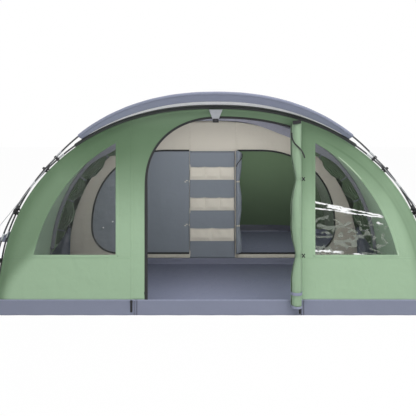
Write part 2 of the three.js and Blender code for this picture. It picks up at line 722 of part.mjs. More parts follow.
/** One bedroom door's outline, smaller all round by inset, on the right (1) or the left (-1). */
function bedroomDoorOutline(sign, inset, hingeInset = inset) {
  const outer = BEDROOM_DOOR_OUTER_X - inset;
  const top = BEDROOM_DOOR_TOP - inset;
  const bottom = BEDROOM_DOOR_BOTTOM + inset;
  const widest = BEDROOM_DOOR_WIDEST;
  const upper = cornerPoints(outer - BEDROOM_DOOR_TOP_X, top - widest, BEDROOM_DOOR_POWER);
  const lower = cornerPoints(outer - BEDROOM_DOOR_FOOT_X, widest - bottom, BEDROOM_DOOR_POWER, 6);
  const points = [
    [BEDROOM_DOOR_INNER_X + hingeInset, bottom],
    [BEDROOM_DOOR_INNER_X + hingeInset, top],
    [BEDROOM_DOOR_TOP_X, top],
    ...upper.map(([across, up]) => [BEDROOM_DOOR_TOP_X + across, widest + up]),
    ...lower.slice(0, -1).reverse().map(([across, down]) => [BEDROOM_DOOR_FOOT_X + across, widest - down]),
    [BEDROOM_DOOR_FOOT_X, bottom],
  ];
  return new THREE.Shape(points.map(([x, z]) => new THREE.Vector2(sign * x, z)));
}

function innerTent() {
  const outline = plate(archOutline(INNER, 0), INNER_WALL_FRONT, INNER_WALL_BACK);
  const wide = FLY_HALF_WIDTH;
  const [front, behind] = [INNER_WALL_FRONT - OVERSHOOT, INNER_WALL_BACK + OVERSHOOT];
  const below = block([-wide, front, -OVERSHOOT], [wide, behind, BEDROOM_FRONT_RIM + GAP]);
  const holes = [-1, 1].map((sign) => plate(bedroomDoorOutline(sign, 0), front, behind));
  add('inner_front_wall', cut(outline, below, ...holes), 'beige_fabric');
  const leaf = bedroomDoorOutline(-1, GAP, DOOR_HINGE_GAP);
  add('bedroom_door_left', plate(leaf, INNER_WALL_FRONT, INNER_WALL_BACK), 'slate_fabric');
  const roll = clothRoll(
    BEDROOM_ROLL_RADIUS, BEDROOM_ROLL_WAIST,
    BEDROOM_DOOR_BOTTOM, BEDROOM_DOOR_TOP, BEDROOM_TIE_HEIGHTS,
  );
  roll.translate(BEDROOM_ROLL_X, INNER_WALL_FRONT - BEDROOM_ROLL_RADIUS - GAP, 0);
  add('bedroom_door_right_rolled', roll, 'slate_fabric');
  const canopy = archBand(INNER, -1, 1, 0, INNER_THICKNESS, INNER_CANOPY_FRONT, INNER_CANOPY_BACK - GAP);
  add('bedroom_canopy', canopy, 'curtain_fabric');
  const wall = slopedBack(INNER, INNER_CANOPY_BACK, INNER_BACK_DEPTH, INNER_BACK_POWER, INNER_THICKNESS);
  add('bedroom_back_wall', wall, 'curtain_fabric');
  divider();
}

/** The wall between the two bedrooms, drawn in Y and Z. */
function divider() {
  const roof = INNER.height - INNER_THICKNESS - GAP;
  const floor = SHEET_THICKNESS + GAP;
  const slope = INNER_BACK_DEPTH / INNER.height;
  const back = INNER_CANOPY_BACK - INNER_THICKNESS - GAP;
  const rim = bedroomSheetBack() - SHEET_THICKNESS - GAP;
  const rimTop = BEDROOM_SHEET_RIM + GAP;
  const wallAt = (z) => back + slope * (INNER.height - z) - GAP;
  const shape = new THREE.Shape([
    new THREE.Vector2(INNER_WALL_BACK + GAP, floor),
    new THREE.Vector2(rim, floor),
    new THREE.Vector2(rim, rimTop),
    new THREE.Vector2(Math.max(wallAt(rimTop), rim), rimTop),
    new THREE.Vector2(back, roof),
    new THREE.Vector2(INNER_WALL_BACK + GAP, roof),
  ]);
  const wall = new THREE.ExtrudeGeometry(shape, { depth: INNER_THICKNESS, bevelEnabled: false });
  wall.rotateX(Math.PI / 2).rotateZ(Math.PI / 2).translate(-INNER_THICKNESS / 2, 0, 0);
  add('bedroom_divider', wall, 'slate_fabric');
}

/** Where the bedroom groundsheet ends, in front of the back wall's slope. */
function bedroomSheetBack() {
  const lean = (INNER_BACK_DEPTH * BEDROOM_SHEET_RIM) / INNER.height;
  return INNER_CANOPY_BACK + INNER_BACK_DEPTH - INNER_THICKNESS * 2 - lean;
}

/** The bedroom groundsheet's outline seen from above, smaller all round by inset. */
function bedroomSheetOutline(inset) {
  const halfWidth = halfWidthAt(INNER, BEDROOM_SHEET_RIM, -INNER_THICKNESS) - GAP - inset;
  const turnY = INNER_CANOPY_BACK - INNER_THICKNESS;
  const cap = cornerPoints(halfWidth, bedroomSheetBack() - inset - turnY, SHEET_CORNER_POWER, 8);
  const right = cap.map(([across, back]) => new THREE.Vector2(across, turnY + back)).reverse();
  const left = cap.map(([across, back]) => new THREE.Vector2(-across, turnY + back));
  const top = new THREE.Vector2(0, bedroomSheetBack() - inset);
  const front = INNER_WALL_FRONT + inset;
  return new THREE.Shape([
    new THREE.Vector2(-halfWidth, front),
    new THREE.Vector2(halfWidth, front),
    ...right,
    top,
    ...left,
  ]);
}

function groundsheets() {
  const rise = (shape, z0, z1) => {
    return new THREE.ExtrudeGeometry(shape, { depth: z1 - z0, bevelEnabled: false }).translate(0, 0, z0);
  };
  const halfWidth = halfWidthAt(FLY, LIVING_SHEET_RIM, -FLY_THICKNESS) - GAP;
  const y0 = PANEL_BACK + GAP;
  const y1 = INNER_WALL_FRONT - GAP;
  const living = block([-halfWidth, y0, 0], [halfWidth, y1, LIVING_SHEET_RIM]);
  const inside = halfWidth - SHEET_THICKNESS;
  const room = block(
    [-inside, y0 - OVERSHOOT, SHEET_THICKNESS],
    [inside, y1 + OVERSHOOT, LIVING_SHEET_RIM + OVERSHOOT],
  );
  add('living_groundsheet', cut(living, room), 'groundsheet');
  const tub = rise(bedroomSheetOutline(0), 0, BEDROOM_SHEET_RIM);
  const high = BEDROOM_SHEET_RIM + OVERSHOOT;
  const hollow = rise(bedroomSheetOutline(SHEET_THICKNESS), SHEET_THICKNESS, high);
  const lowered = block(
    [-FLY_HALF_WIDTH, INNER_WALL_FRONT - OVERSHOOT, BEDROOM_FRONT_RIM],
    [FLY_HALF_WIDTH, INNER_WALL_BACK + GAP, high],
  );
  add('bedroom_groundsheet', cut(tub, hollow, lowered), 'groundsheet');
}

/** The organiser: a backing sheet with open-topped pockets across it. */
function organiser() {
  const back = INNER_WALL_FRONT - GAP;
  const face = back - POCKET_WALL;
  const sheet = block([ORGANISER_LEFT, face, ORGANISER_BOTTOM], [ORGANISER_RIGHT, back, ORGANISER_TOP]);
  const pockets = [];
  const spaces = [];
  for (let i = 0; i < POCKET_COUNT; i += 1) {
    const top = POCKET_TOP - i * POCKET_PITCH;
    const bottom = top - POCKET_HEIGHT;
    pockets.push(block([ORGANISER_LEFT, face - POCKET_DEPTH, bottom], [ORGANISER_RIGHT, back, top]));
    spaces.push(block(
      [ORGANISER_LEFT + POCKET_WALL, face - POCKET_DEPTH + POCKET_WALL, bottom + POCKET_WALL],
      [ORGANISER_RIGHT - POCKET_WALL, face, top + OVERSHOOT],
    ));
  }
  add('organiser', cut(join(sheet, ...pockets), ...spaces), 'slate_fabric');
}

/** The tape along the middle arch and the two curtains tied up under it. */
function dividerCurtains() {
  const inside = -FLY_THICKNESS - GAP;
  const y0 = MIDDLE_ARCH_Y - TAPE_WIDTH / 2;
  const tapeEnd = (HALF_FACETS - 1) / HALF_FACETS;
  const tape = archBand(FLY, -tapeEnd, tapeEnd, inside, TAPE_THICKNESS, y0, y0 + TAPE_WIDTH);
  add('arch_tape', tape, 'slate_fabric');
  const flat = Math.cos(Math.PI / CURTAIN_SIDES);
  const y = y0 + TAPE_WIDTH + GAP + (CURTAIN_DEPTH / 2) * flat;
  const section = roundSection(CURTAIN_SIDES, CURTAIN_DEPTH / 2, CURTAIN_WIDTH / 2);
  const [from, to] = [CURTAIN_FIRST_FACET / HALF_FACETS, CURTAIN_LAST_FACET / HALF_FACETS];
  for (const [side, sign] of Object.entries({ left: -1, right: 1 })) {
    const points = shares(from, to).map((share) => {
      return facetPoint(FLY, sign * share, inside - (CURTAIN_WIDTH / 2) * flat, y);
    });
    add(`divider_curtain_${side}`, sweep(points, section), 'curtain_fabric');
  }
}

/** The pull of each zip: one on the front door's jamb and one under the left bedroom door. */
function zipSliders() {
  const x = DOOR_LEFT_X - SLIDER_EDGE;
  add('zip_slider_front', block(
    [x - SLIDER_WIDTH, FRONT_Y - GAP - SLIDER_DEPTH, DOOR_SLIDER_BOTTOM],
    [x, FRONT_Y - GAP, DOOR_SLIDER_BOTTOM + SLIDER_LENGTH],
  ), 'black_plastic');
  const top = BEDROOM_DOOR_BOTTOM - SLIDER_EDGE / 2;
  add('zip_slider_bedroom', block(
    [BEDROOM_SLIDER_X - SLIDER_LENGTH, INNER_WALL_FRONT - GAP - SLIDER_DEPTH, top - SLIDER_WIDTH],
    [BEDROOM_SLIDER_X, INNER_WALL_FRONT - GAP, top],
  ), 'black_plastic');
}

// ---------------------------------------------------------------- guylines

/** One guyline's places: the middle between its strands at the top and at the peg, and its ways. */
function guylineFrame(sign) {
  const pole = browPole(sign * ANCHOR_PLACE);
  const poleWay = browPole(sign * (ANCHOR_PLACE + ANCHOR_STEP)).sub(pole).normalize();
  const forward = new THREE.Vector3(0, -1, 0).addScaledVector(poleWay, poleWay.y).normalize();
  const outward = new THREE.Vector3().crossVectors(forward, poleWay).multiplyScalar(sign);
  const away = forward.add(outward).normalize();
  const start = pole.addScaledVector(away, POLE_RADIUS * FLAT + GUYLINE_RADIUS + GAP);
  const loop = new THREE.Vector3(sign * PEG_X, FRONT_Y - PEG_FORWARD, LOOP_HEIGHT);
  const way = loop.clone().sub(start);
  const across = new THREE.Vector3(-way.y, way.x, 0).multiplyScalar(sign).normalize();
  start.addScaledVector(across, -GUYLINE_SPREAD);
  return { start, loop, down: loop.clone().sub(start).normalize(), across };
}

/** The guyline: down to the peg, round it and back up into the runner. */
function guyline(side, sign) {
  const { start, loop, down, across } = guylineFrame(sign);
  const end = start.clone().addScaledVector(down, RUNNER_DISTANCE);
  const beside = (place, offset) => place.clone().addScaledVector(across, offset);
  const points = [start, start.clone().lerp(loop, 0.5)].map((place) => beside(place, GUYLINE_SPREAD));
  const turns = 8;
  for (let i = 0; i <= turns; i += 1) {
    const turn = (i / turns) * Math.PI;
    const reach = down.clone().multiplyScalar(GUYLINE_SPREAD * Math.sin(turn));
    points.push(beside(loop, GUYLINE_SPREAD * Math.cos(turn)).add(reach));
  }
  points.push(...[end.clone().lerp(loop, 0.5), end].map((place) => beside(place, -GUYLINE_SPREAD)));
  add(`guyline_${side}`, sweep(points, roundSection(8, GUYLINE_RADIUS)), 'cord');
}

/** The runner: a bar with a bore for each strand. */
function runner(side, sign) {
  const { start, down, across } = guylineFrame(sign);
  const section = roundSection(12, RUNNER_WIDTH / 2, RUNNER_DEPTH / 2);
  for (const x of [-GUYLINE_SPREAD, GUYLINE_SPREAD]) {
    const bore = roundSection(8, RUNNER_BORE).getPoints().map((point) => point.add(new THREE.Vector2(x, 0)));
    section.holes.push(new THREE.Path(bore));
  }
  const bar = new THREE.ExtrudeGeometry(section, { depth: RUNNER_LENGTH, bevelEnabled: false });
  const third = new THREE.Vector3().crossVectors(down, across);
  const place = start.clone().addScaledVector(down, RUNNER_DISTANCE - RUNNER_LENGTH / 2);
  bar.applyMatrix4(new THREE.Matrix4().makeBasis(across, third, down).setPosition(place));
  add(`runner_${side}`, bar, 'black_plastic');
}

/** The peg: a leaning shaft with a hook, standing in the ground and modelled down to it. */
function peg(side, sign) {
  const { loop, down } = guylineFrame(sign);
  const outward = new THREE.Vector3(down.x, down.y, 0).normalize();
  const level = down.dot(outward);
  const shaft = outward.clone().multiplyScalar(-down.z).add(new THREE.Vector3(0, 0, level));
  const seat = GUYLINE_SPREAD - GUYLINE_RADIUS - GAP - PEG_RADIUS;
  const middle = loop.clone().addScaledVector(down, seat);
  const top = middle.clone().addScaledVector(shaft, PEG_SHAFT);
  const centre = top.clone().addScaledVector(down, PEG_HOOK_RADIUS);
  const points = [middle.clone().addScaledVector(shaft, -3 * LOOP_HEIGHT), middle];
  const turns = 8;
  for (let i = 0; i <= turns; i += 1) {
    const turn = (i / turns) * Math.PI;
    points.push(centre.clone()
      .addScaledVector(down, -PEG_HOOK_RADIUS * Math.cos(turn))
      .addScaledVector(shaft, PEG_HOOK_RADIUS * Math.sin(turn)));
  }
  add(`peg_${side}`, aboveGround(sweep(points, roundSection(8, PEG_RADIUS))), 'steel');
}

// ---------------------------------------------------------------- the tent

poles();
brow();
clips();
fly();
rear();
frontPanels();
rolledDoor();
peakBuckle();
ventHoods();
innerTent();
groundsheets();
organiser();
dividerCurtains();
zipSliders();
for (const [side, sign] of Object.entries({ left: -1, right: 1 })) {
  guyline(side, sign);
  runner(side, sign);
  peg(side, sign);
}

export default tent;
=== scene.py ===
"""Dresses a family tunnel tent: cloth, film, poles, cords and fittings over its construction frame."""

from functools import partial

import bpy
import numpy as np
from bpy.props import FloatProperty, FloatVectorProperty, PointerProperty
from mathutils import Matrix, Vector


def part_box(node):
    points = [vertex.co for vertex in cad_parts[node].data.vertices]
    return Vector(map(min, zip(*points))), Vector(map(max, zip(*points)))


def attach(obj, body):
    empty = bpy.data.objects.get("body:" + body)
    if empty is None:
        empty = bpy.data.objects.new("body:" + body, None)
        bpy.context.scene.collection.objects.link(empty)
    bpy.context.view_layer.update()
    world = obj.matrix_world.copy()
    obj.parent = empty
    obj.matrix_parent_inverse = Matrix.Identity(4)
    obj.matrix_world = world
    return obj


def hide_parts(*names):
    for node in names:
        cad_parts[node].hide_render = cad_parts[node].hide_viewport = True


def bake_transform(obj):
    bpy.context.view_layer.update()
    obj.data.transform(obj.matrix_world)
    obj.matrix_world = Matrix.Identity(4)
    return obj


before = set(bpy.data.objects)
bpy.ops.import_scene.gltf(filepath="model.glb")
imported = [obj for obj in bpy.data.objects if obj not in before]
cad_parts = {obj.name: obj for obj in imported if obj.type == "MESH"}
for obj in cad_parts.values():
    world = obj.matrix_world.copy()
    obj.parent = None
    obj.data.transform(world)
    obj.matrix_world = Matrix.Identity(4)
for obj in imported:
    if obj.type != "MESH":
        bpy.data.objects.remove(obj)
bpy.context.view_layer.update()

bl_info = {
    "name": "Family tunnel tent",
    "version": (1, 0, 0),
    "blender": (4, 5, 0),
    "location": "3D View > Sidebar > Tent",
    "description": "Builds the cloth, film, poles, cords and fittings of a family tunnel tent",
    "category": "Add Mesh",
}

TENT = "tent"
SIDES = {"left": -1, "right": 1}

# The arch that the fly, the poles and the inner tent follow: |x/a|^n + (z/b)^n = 1.
POWER = 2.25
FLY = (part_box("fly_wall_right")[1][0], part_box("fly_roof")[1][2])
INNER = (FLY[0] - 0.159, FLY[1] - 0.062)
PANE = (FLY[0] - 0.279, FLY[1] - 0.102)
ROOF_END = 10 / 24

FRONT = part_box("front_panel_left")[0][1]
FRONT_ARCH = FRONT + 0.02
MIDDLE_ARCH = FRONT + 1.47
REAR_ARCH = FRONT + 3.5
FLY_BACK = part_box("fly_roof")[1][1]
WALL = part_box("inner_front_wall")[0][1]
CANOPY_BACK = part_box("bedroom_canopy")[1][1]
SKIRT_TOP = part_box("door_sill")[1][2]

POLE_RADIUS = 0.008
SLEEVE_RADIUS = 0.0163
CROWN_OFFSET = 0.0154
POLE_BOW = 0.046
FERRULES = (0.47, 0.6, 0.79)

# The brow pole stands forward at its crown and behind at its feet, and crosses the front pole at one share.
# It lies outside the arch by one offset where it crosses and by another at its crown, and is raised there.
BROW_END = 0.386
BROW_FORWARD, BROW_BEHIND = 0.25, 0.14
BROW_CROSSING = 0.5
CROSSED_OFFSET, BROW_OFFSET, BROW_RAISE = 0.019, 0.082, 0.030

# How far a cloth lies inside the fly's outline, and the least share of its flat size that is its area.
CLOTH_INSET = 0.0015
LEAST_AREA = 0.3

# The right guyline: its knot beside the brow pole, its loop round the peg, and how far down it the runner is.
GUYLINE_START, GUYLINE_LOOP = (1.490225, -0.879595, 1.536006), (2.56, -1.47, 0.016)
STRAND_RADIUS, STRAND_GAP, RUNNER_PLACE = 0.0015, 0.008, 0.15


def srgb(red, green, blue):
    """A colour of 0 to 255 as the linear values that shaders take."""
    value = np.array([red, green, blue]) / 255
    return tuple(np.where(value <= 0.04045, value / 12.92, ((value + 0.055) / 1.055) ** 2.4).tolist())


def colour(name, description, *rgb):
    return FloatVectorProperty(
        name=name, description=description, subtype="COLOR", size=3, min=0, max=1, default=srgb(*rgb)
    )


def length(name, description, default):
    return FloatProperty(
        name=name, description=description, default=default, min=0, subtype="DISTANCE", unit="LENGTH"
    )


class TentColours(bpy.types.PropertyGroup):
    """The colours of the tent's cloth and fittings"""

    green: colour("Green cloth", "Walls and front of the fly", 153, 180, 150)
    grey: colour("Grey cloth", "Roof, brow, sill and skirts", 131, 136, 155)
    dark: colour("Dark sleeve", "Sleeve of the front pole", 58, 62, 61)
    beige: colour("Beige cloth", "Bedroom wall and pockets", 190, 184, 172)
    slate: colour("Slate cloth", "Bedroom doors and organiser", 124, 130, 138)
    canopy: colour("Dark green cloth", "Bedroom canopy and divider curtains", 88, 108, 82)
    ground: colour("Groundsheet", "Groundsheets and their rims", 118, 122, 142)
    pole: colour("Poles", "Glass-fibre poles", 62, 63, 66)
    cord: colour("Guylines", "Braided guylines", 176, 178, 181)


class TentSizes(bpy.types.PropertyGroup):
    """The sizes of the tent's soft shapes"""

    sag: length("Fly sag", "How far the fly hangs in between two poles", 0.016)
    billow: length("Brow billow", "How far the brow hangs in between its sleeves", 0.014)
    margin: length("Front margin", "How far the front curves back at its edge", 0.014)
    cloth: length("Cloth thickness", "Thickness that the cloth is given", 0.0012)
    pinch: length("Tie pinch", "How far a tie draws in the rolled door", 0.022)


# ---------------------------------------------------------------- shapes


def mix(low, high, share):
    """low where share is 0 and high where it is 1, in a straight line between."""
    return low + (high - low) * share


def smooth(low, high, value):
    """0 below low, 1 above high, and 3t^2 - 2t^3 in between."""
    t = np.clip((value - low) / (high - low), 0, 1)
    return t * t * (3 - 2 * t)


def unit(vectors):
    """Each vector over its length."""
    return vectors / np.linalg.norm(vectors, axis=-1, keepdims=True)


def points(*columns):
    """Numbers and arrays as one array of points."""
    return np.stack(np.broadcast_arrays(*columns), axis=-1).astype(float)


def mirrored(path, sign):
    """The path with its x turned round where sign is -1."""
    return path * np.array([sign, 1, 1])


def raised(value, power):
    """A value's size to a power, with the value's own sign."""
    return np.sign(value) * np.abs(value) ** power


def bezier(places, count):
    """a (1-t)^3 + 3 b t (1-t)^2 + 3 c t^2 (1-t) + d t^3."""
    a, b, c, d = (np.array(place, float) for place in places)
    t = np.linspace(0, 1, count)[:, None]
    return a * (1 - t) ** 3 + b * 3 * t * (1 - t) ** 2 + c * 3 * t**2 * (1 - t) + d * t**3


def resample(path, count):
    """A path of that many points, evenly far apart along its length."""
    path = np.asarray(path, float)
    run = np.concatenate([[0], np.cumsum(np.linalg.norm(np.diff(path, axis=0), axis=1))])
    at = np.linspace(0, run[-1], count)
    return np.stack([np.interp(at, run, path[:, axis]) for axis in range(path.shape[1])], axis=1)


def arch(share, offset=0.0, size=FLY):
    """x = a sin^(2/n), z = b cos^(2/n) of a quarter turn times share, moved out along the curve's normal."""
    turn = np.abs(share) * np.pi / 2
    x, z = np.sin(turn) ** (2 / POWER), np.clip(np.cos(turn), 0, 1) ** (2 / POWER)
    out_x, out_z = x ** (POWER - 1) / size[0], z ** (POWER - 1) / size[1]
    scale = np.hypot(out_x, out_z)
    return np.sign(share) * (size[0] * x + offset * out_x / scale), size[1] * z + offset * out_z / scale


def even_shares(start, end, count, size=FLY):
    """Shares that lie evenly far apart along the arch."""
    dense = np.linspace(start, end, 3000)
    x, z = arch(dense, 0.0, size)
    run = np.concatenate([[0], np.cumsum(np.hypot(np.diff(x), np.diff(z)))])
    return np.interp(np.linspace(0, run[-1], count), run, dense)


def share_at(height, size=FLY):
    """The share at which the arch has a height, from the inverse cosine of (z/b)^(n/2)."""
    return np.arccos(np.clip(height / size[1], 0, 1) ** (POWER / 2)) * 2 / np.pi


def half_width(height, size=FLY):
    """x = a (1 - (z/b)^n)^(1/n)."""
    return size[0] * (1 - np.clip(height / size[1], 0, 1) ** POWER) ** (1 / POWER)


def arch_height(x, size=FLY):
    """z = b (1 - (x/a)^n)^(1/n)."""
    return size[1] * (1 - np.clip(np.abs(x) / size[0], 0, 1) ** POWER) ** (1 / POWER)


def pole_offset(share):
    """How far a pole's middle lies outside the arch: bowed out below its crown as 3t^2 - 2t^3."""
    return CROWN_OFFSET + POLE_BOW * smooth(0.45, 0.85, np.abs(share))


def upright_route(share, y):
    """The middle of a pole that stands in one plane."""
    x, z = arch(share, pole_offset(share))
    return points(x, y, z)


def brow_route(share):
    """The middle of the brow pole: lifted and forward at the crown by a cosine ease, behind at the feet."""
    down = np.abs(share)
    above = mix(CROSSED_OFFSET, BROW_OFFSET, 1 - (down / BROW_CROSSING) ** 2)
    below = CROSSED_OFFSET * (1 - smooth(BROW_CROSSING, 0.75, down))
    outward = np.where(down < BROW_CROSSING, above, below)
    outward = outward + BROW_RAISE * np.clip(1 - (down / 0.45) ** 2, 0, 1) ** 2
    travel = BROW_FORWARD + BROW_BEHIND
    ease = np.log(np.arccos(1 - 2 * BROW_FORWARD / travel) / np.pi) / np.log(BROW_CROSSING)
    y = FRONT_ARCH - BROW_FORWARD + travel * (1 - np.cos(np.pi * down**ease)) / 2
    x, z = arch(share, pole_offset(share) + outward)
    return points(x, y, z)


def corner(width, height, power, count):
    """A quarter of a superellipse, from straight up to straight out: across and up."""
    turn = np.linspace(0, np.pi / 2, count)
    return width * np.sin(turn) ** (2 / power), height * np.clip(np.cos(turn), 0, 1) ** (2 / power)


def sweep(path, across, width, depth, sides=12, square=1.0, folds=1.0):
    """A section carried along a path: across * w * cos^q + other * d * sin^q, with w and d half sizes."""
    path = np.asarray(path, float)
    along = unit(np.gradient(path, axis=0))
    across = np.broadcast_to(np.asarray(across, float), path.shape)
    across = unit(across - along * (across * along).sum(axis=1, keepdims=True))
    other = np.cross(along, across)
    turn = np.linspace(0, 2 * np.pi, sides, endpoint=False)
    cos, sin = raised(np.cos(turn), square), raised(np.sin(turn), square)
    width, depth = (np.broadcast_to(np.asarray(size, float), len(path))[:, None] for size in (width, depth))
    grid = path[:, None] + across[:, None] * (width * cos * folds)[..., None]
    return {"points": grid + other[:, None] * (depth * sin * folds)[..., None], "round": True}


def tube(path, radius, sides=12, folds=1.0, across=(0, 1, 0)):
    """A round section; across is any direction that the path never runs along."""
    return sweep(path, across, radius, radius, sides, 1.0, folds)


def strap(path, across, width, thickness, sides=12):
    """A flat band along a path, with rounded edges."""
    return sweep(path, across, width / 2, thickness / 2, sides, 0.35)


def bead(centre, size, square=0.35):
    """A rounded block: a superellipsoid whose sines and cosines are raised to the power square."""
    v, u = np.linspace(0, np.pi, 14)[:, None], np.linspace(0, 2 * np.pi, 28, endpoint=False)[None]
    out, up = raised(np.sin(v), square), raised(np.cos(v), square)
    ball = points(out * raised(np.cos(u), square), out * raised(np.sin(u), square), up)
    place = ball * np.asarray(size, float) / 2 + np.asarray(centre, float)
    return {"points": place, "round": True, "poles": True}


def flat(grid):
    """An open grid of points."""
    return {"points": grid}


def between(inner, outer, rows):
    """A surface ruled from one path to another with as many points."""
    share = np.linspace(0, 1, rows)[:, None, None]
    return inner[None] * (1 - share) + outer[None] * share


def chain(*runs):
    """Runs of (points, count) joined into one path, each evenly spaced and ending where the next starts."""
    pieces = [resample(path, count) for path, count in runs]
    return np.concatenate([piece[:-1] for piece in pieces[:-1]] + [pieces[-1]])


def mesh_of(name, grids):
    """One mesh from grids of points, with a UV map 'cut' that is in metres along the rows and columns."""
    vertices, faces, corners, start = [], [], [], 0
    for grid in grids:
        place, closed = grid["points"], grid.get("round", False)
        rows, columns = place.shape[:2]
        wide = np.concatenate([place, place[:, :1]], axis=1) if closed else place
        u = np.concatenate([[0], np.cumsum(np.linalg.norm(np.diff(wide, axis=1), axis=2).mean(axis=0))])
        v = np.concatenate([[0], np.cumsum(np.linalg.norm(np.diff(wide, axis=0), axis=2).mean(axis=1))])
        i, j = np.meshgrid(np.arange(rows - 1), np.arange(wide.shape[1] - 1), indexing="ij")
        step = np.array([[0, 0], [1, 0], [1, 1], [0, 1]])
        at_i, at_j = i[..., None] + step[:, 0], j[..., None] + step[:, 1]
        quads = (at_i * columns + at_j % columns).reshape(-1, 4)
        uvs = np.stack([u[at_j], v[at_i]], axis=-1).reshape(-1, 4, 2)
        ends = []
        if closed:
            ends = [np.arange(columns), np.arange(columns)[::-1] + (rows - 1) * columns]
            a, b, c = (place.reshape(-1, 3)[quads[:, k]] for k in range(3))
            if (a * np.cross(b, c)).sum() + (a * np.cross(c, place.reshape(-1, 3)[quads[:, 3]])).sum() < 0:
                quads, uvs, ends = quads[:, ::-1], uvs[:, ::-1], [end[::-1] for end in ends]
        vertices.append(place.reshape(-1, 3))
        faces += (quads + start).tolist() + [(end + start).tolist() for end in ends]
        corners.append(uvs.reshape(-1, 2))
        corners += [np.zeros((len(end), 2)) for end in ends]
        start += rows * columns
    mesh = bpy.data.meshes.new(name)
    mesh.from_pydata(np.concatenate(vertices).tolist(), [], faces)
    mesh.uv_layers.new(name="cut").data.foreach_set("uv", np.concatenate(corners).ravel())
    mesh.shade_smooth()
    return mesh


def piece(name, finish, *grids, body=TENT, nodes=(), slot=None, thick=None):
    """A finished piece: mesh, material, the body it rides on (None for a blend) and the nodes it replaces."""
    obj = bpy.data.objects.new(name, mesh_of(name, grids))
    bpy.context.collection.objects.link(obj)
    obj.data.materials.append(finish)
    if any(grid.get("poles") for grid in grids):
        weld = obj.modifiers.new("weld", "WELD")
        weld.merge_threshold = 1e-6
    if thick:
        shell = obj.modifiers.new("thickness", "SOLIDIFY")
        shell.thickness, shell.offset = thick, 0
    if body:
        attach(obj, body)
    if nodes:
        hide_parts(*nodes)
    return obj


def cloth_piece(name, finish, *grids, held="stretched", on=(), thick=None, cut=None, **settings):
    """A sheet of cloth, given its thickness; the size and area of its flat cut are worked out but not used.
    """
    sizes = []
    for grid in grids:
        place = grid["points"]
        if grid.get("round"):
            place = np.concatenate([place, place[:, :1]], axis=1)
        wide = np.linalg.norm(np.diff(place, axis=1), axis=2).sum(axis=1).max()
        long = np.linalg.norm(np.diff(place, axis=0), axis=2).sum(axis=0).max()
        a, b = place[1:, :-1] - place[:-1, :-1], place[:-1, 1:] - place[:-1, :-1]
        c, d = place[:-1, 1:] - place[1:, 1:], place[1:, :-1] - place[1:, 1:]
        area = sum(np.linalg.norm(np.cross(p, q), axis=2).sum() / 2 for p, q in ((a, b), (c, d)))
        sizes.append((wide, long, area))
    width, area = max(s[0] for s in sizes), sum(s[2] for s in sizes)
    long = max(sum(s[1] for s in sizes), area / width)
    width, long = cut or (width, long)
    thick = bpy.context.scene.tent_sizes.cloth if thick is None else thick
    obj = piece(name, finish, *grids, thick=thick, **settings)
    area = max(area, LEAST_AREA * width * long)
    return obj


# ---------------------------------------------------------------- finishes


class Value:
    """A shader value. An expression on it adds its Math nodes."""

    def __init__(self, shader, socket):
        self.shader, self.socket = shader, socket

    def math(self, operation, *values):
        return self.shader.node("ShaderNodeMath", {"operation": operation}, dict(enumerate(values)))

    def __add__(self, other):
        return self.math("ADD", self, other)

    def __sub__(self, other):
        return self.math("SUBTRACT", self, other)

    def __rsub__(self, other):
        return self.math("SUBTRACT", other, self)

    def __mul__(self, other):
        return self.math("MULTIPLY", self, other)

    def __truediv__(self, other):
        return self.math("DIVIDE", self, other)


    def __lt__(self, other):
        return self.math("LESS_THAN", self, other)

    def __abs__(self):
        return self.math("ABSOLUTE", self)

    def sin(self):
        return self.math("SINE", self)

    def power(self, other):
        return self.math("POWER", self, other)

    def wrap(self, period):
        return self.math("FLOORED_MODULO", self, period)


    def most(self, other):
        return self.math("MAXIMUM", self, other)

    def ramp(self, low, high):
        """0 at low and 1 at high, eased at both ends."""
        values = {"Value": self, "From Min": low, "From Max": high}
        return self.shader.node("ShaderNodeMapRange", {"interpolation_type": "SMOOTHSTEP"}, values)

    __radd__, __rmul__ = __add__, __mul__


class Shader:
    def __init__(self, name):
        self.material = bpy.data.materials.new(name)
        self.material.use_nodes = True
        self.tree = self.material.node_tree
        self.surface = self.tree.nodes["Principled BSDF"]
        self.object = self.node("ShaderNodeTexCoord", {}, {}, "Object")
        self.x, self.y, self.z = self.parts(self.object)

    def node(self, kind, settings=None, values=None, output=0):
        node = self.tree.nodes.new(kind)
        for key, value in (settings or {}).items():
            setattr(node, key, value)
        for key, value in (values or {}).items():
            self.put(node.inputs[key], value)
        return Value(self, node.outputs[output])

    def put(self, socket, value):
        if isinstance(value, Value):
            self.tree.links.new(value.socket, socket)
        elif isinstance(value, tuple) and len(value) == 3 and socket.type == "RGBA":
            socket.default_value = (*value, 1)
        else:
            socket.default_value = value

    def parts(self, vector):
        split = self.node("ShaderNodeSeparateXYZ", {}, {"Vector": vector})
        return tuple(Value(self, socket) for socket in split.socket.node.outputs)

    def cut(self):
        """How far along and across the flat cut a point lies, in metres."""
        return self.parts(self.node("ShaderNodeUVMap", {"uv_map": "cut"}))[:2]

    def noise(self, scale, detail=3.0, stretch=(1, 1, 1), **values):
        size = tuple(scale * part for part in stretch)
        place = self.node("ShaderNodeMapping", {}, {"Vector": self.object, "Scale": size})
        values = {"Vector": place, "Scale": 1.0, "Detail": detail, **values}
        return self.node("ShaderNodeTexNoise", {}, values)

    def blend(self, share, low, high):
        """low where share is 0 and high where it is 1; both are colours."""
        return self.node("ShaderNodeMix", {"data_type": "RGBA"}, {"Factor": share, 6: low, 7: high}, 2)

    def bump(self, height, distance, below=None):
        values = {"Height": height, "Distance": distance, "Strength": 1.0}
        if below is not None:
            values["Normal"] = below
        return self.node("ShaderNodeBump", {}, values)

    def finish(self, **values):
        for key, value in values.items():
            self.put(self.surface.inputs[key.replace("_", " ")], value)
        return self.material


def tint(base, factor):
    """A colour times a factor, held to 1."""
    return tuple(min(1.0, value * factor) for value in base)


FINISHES = {}


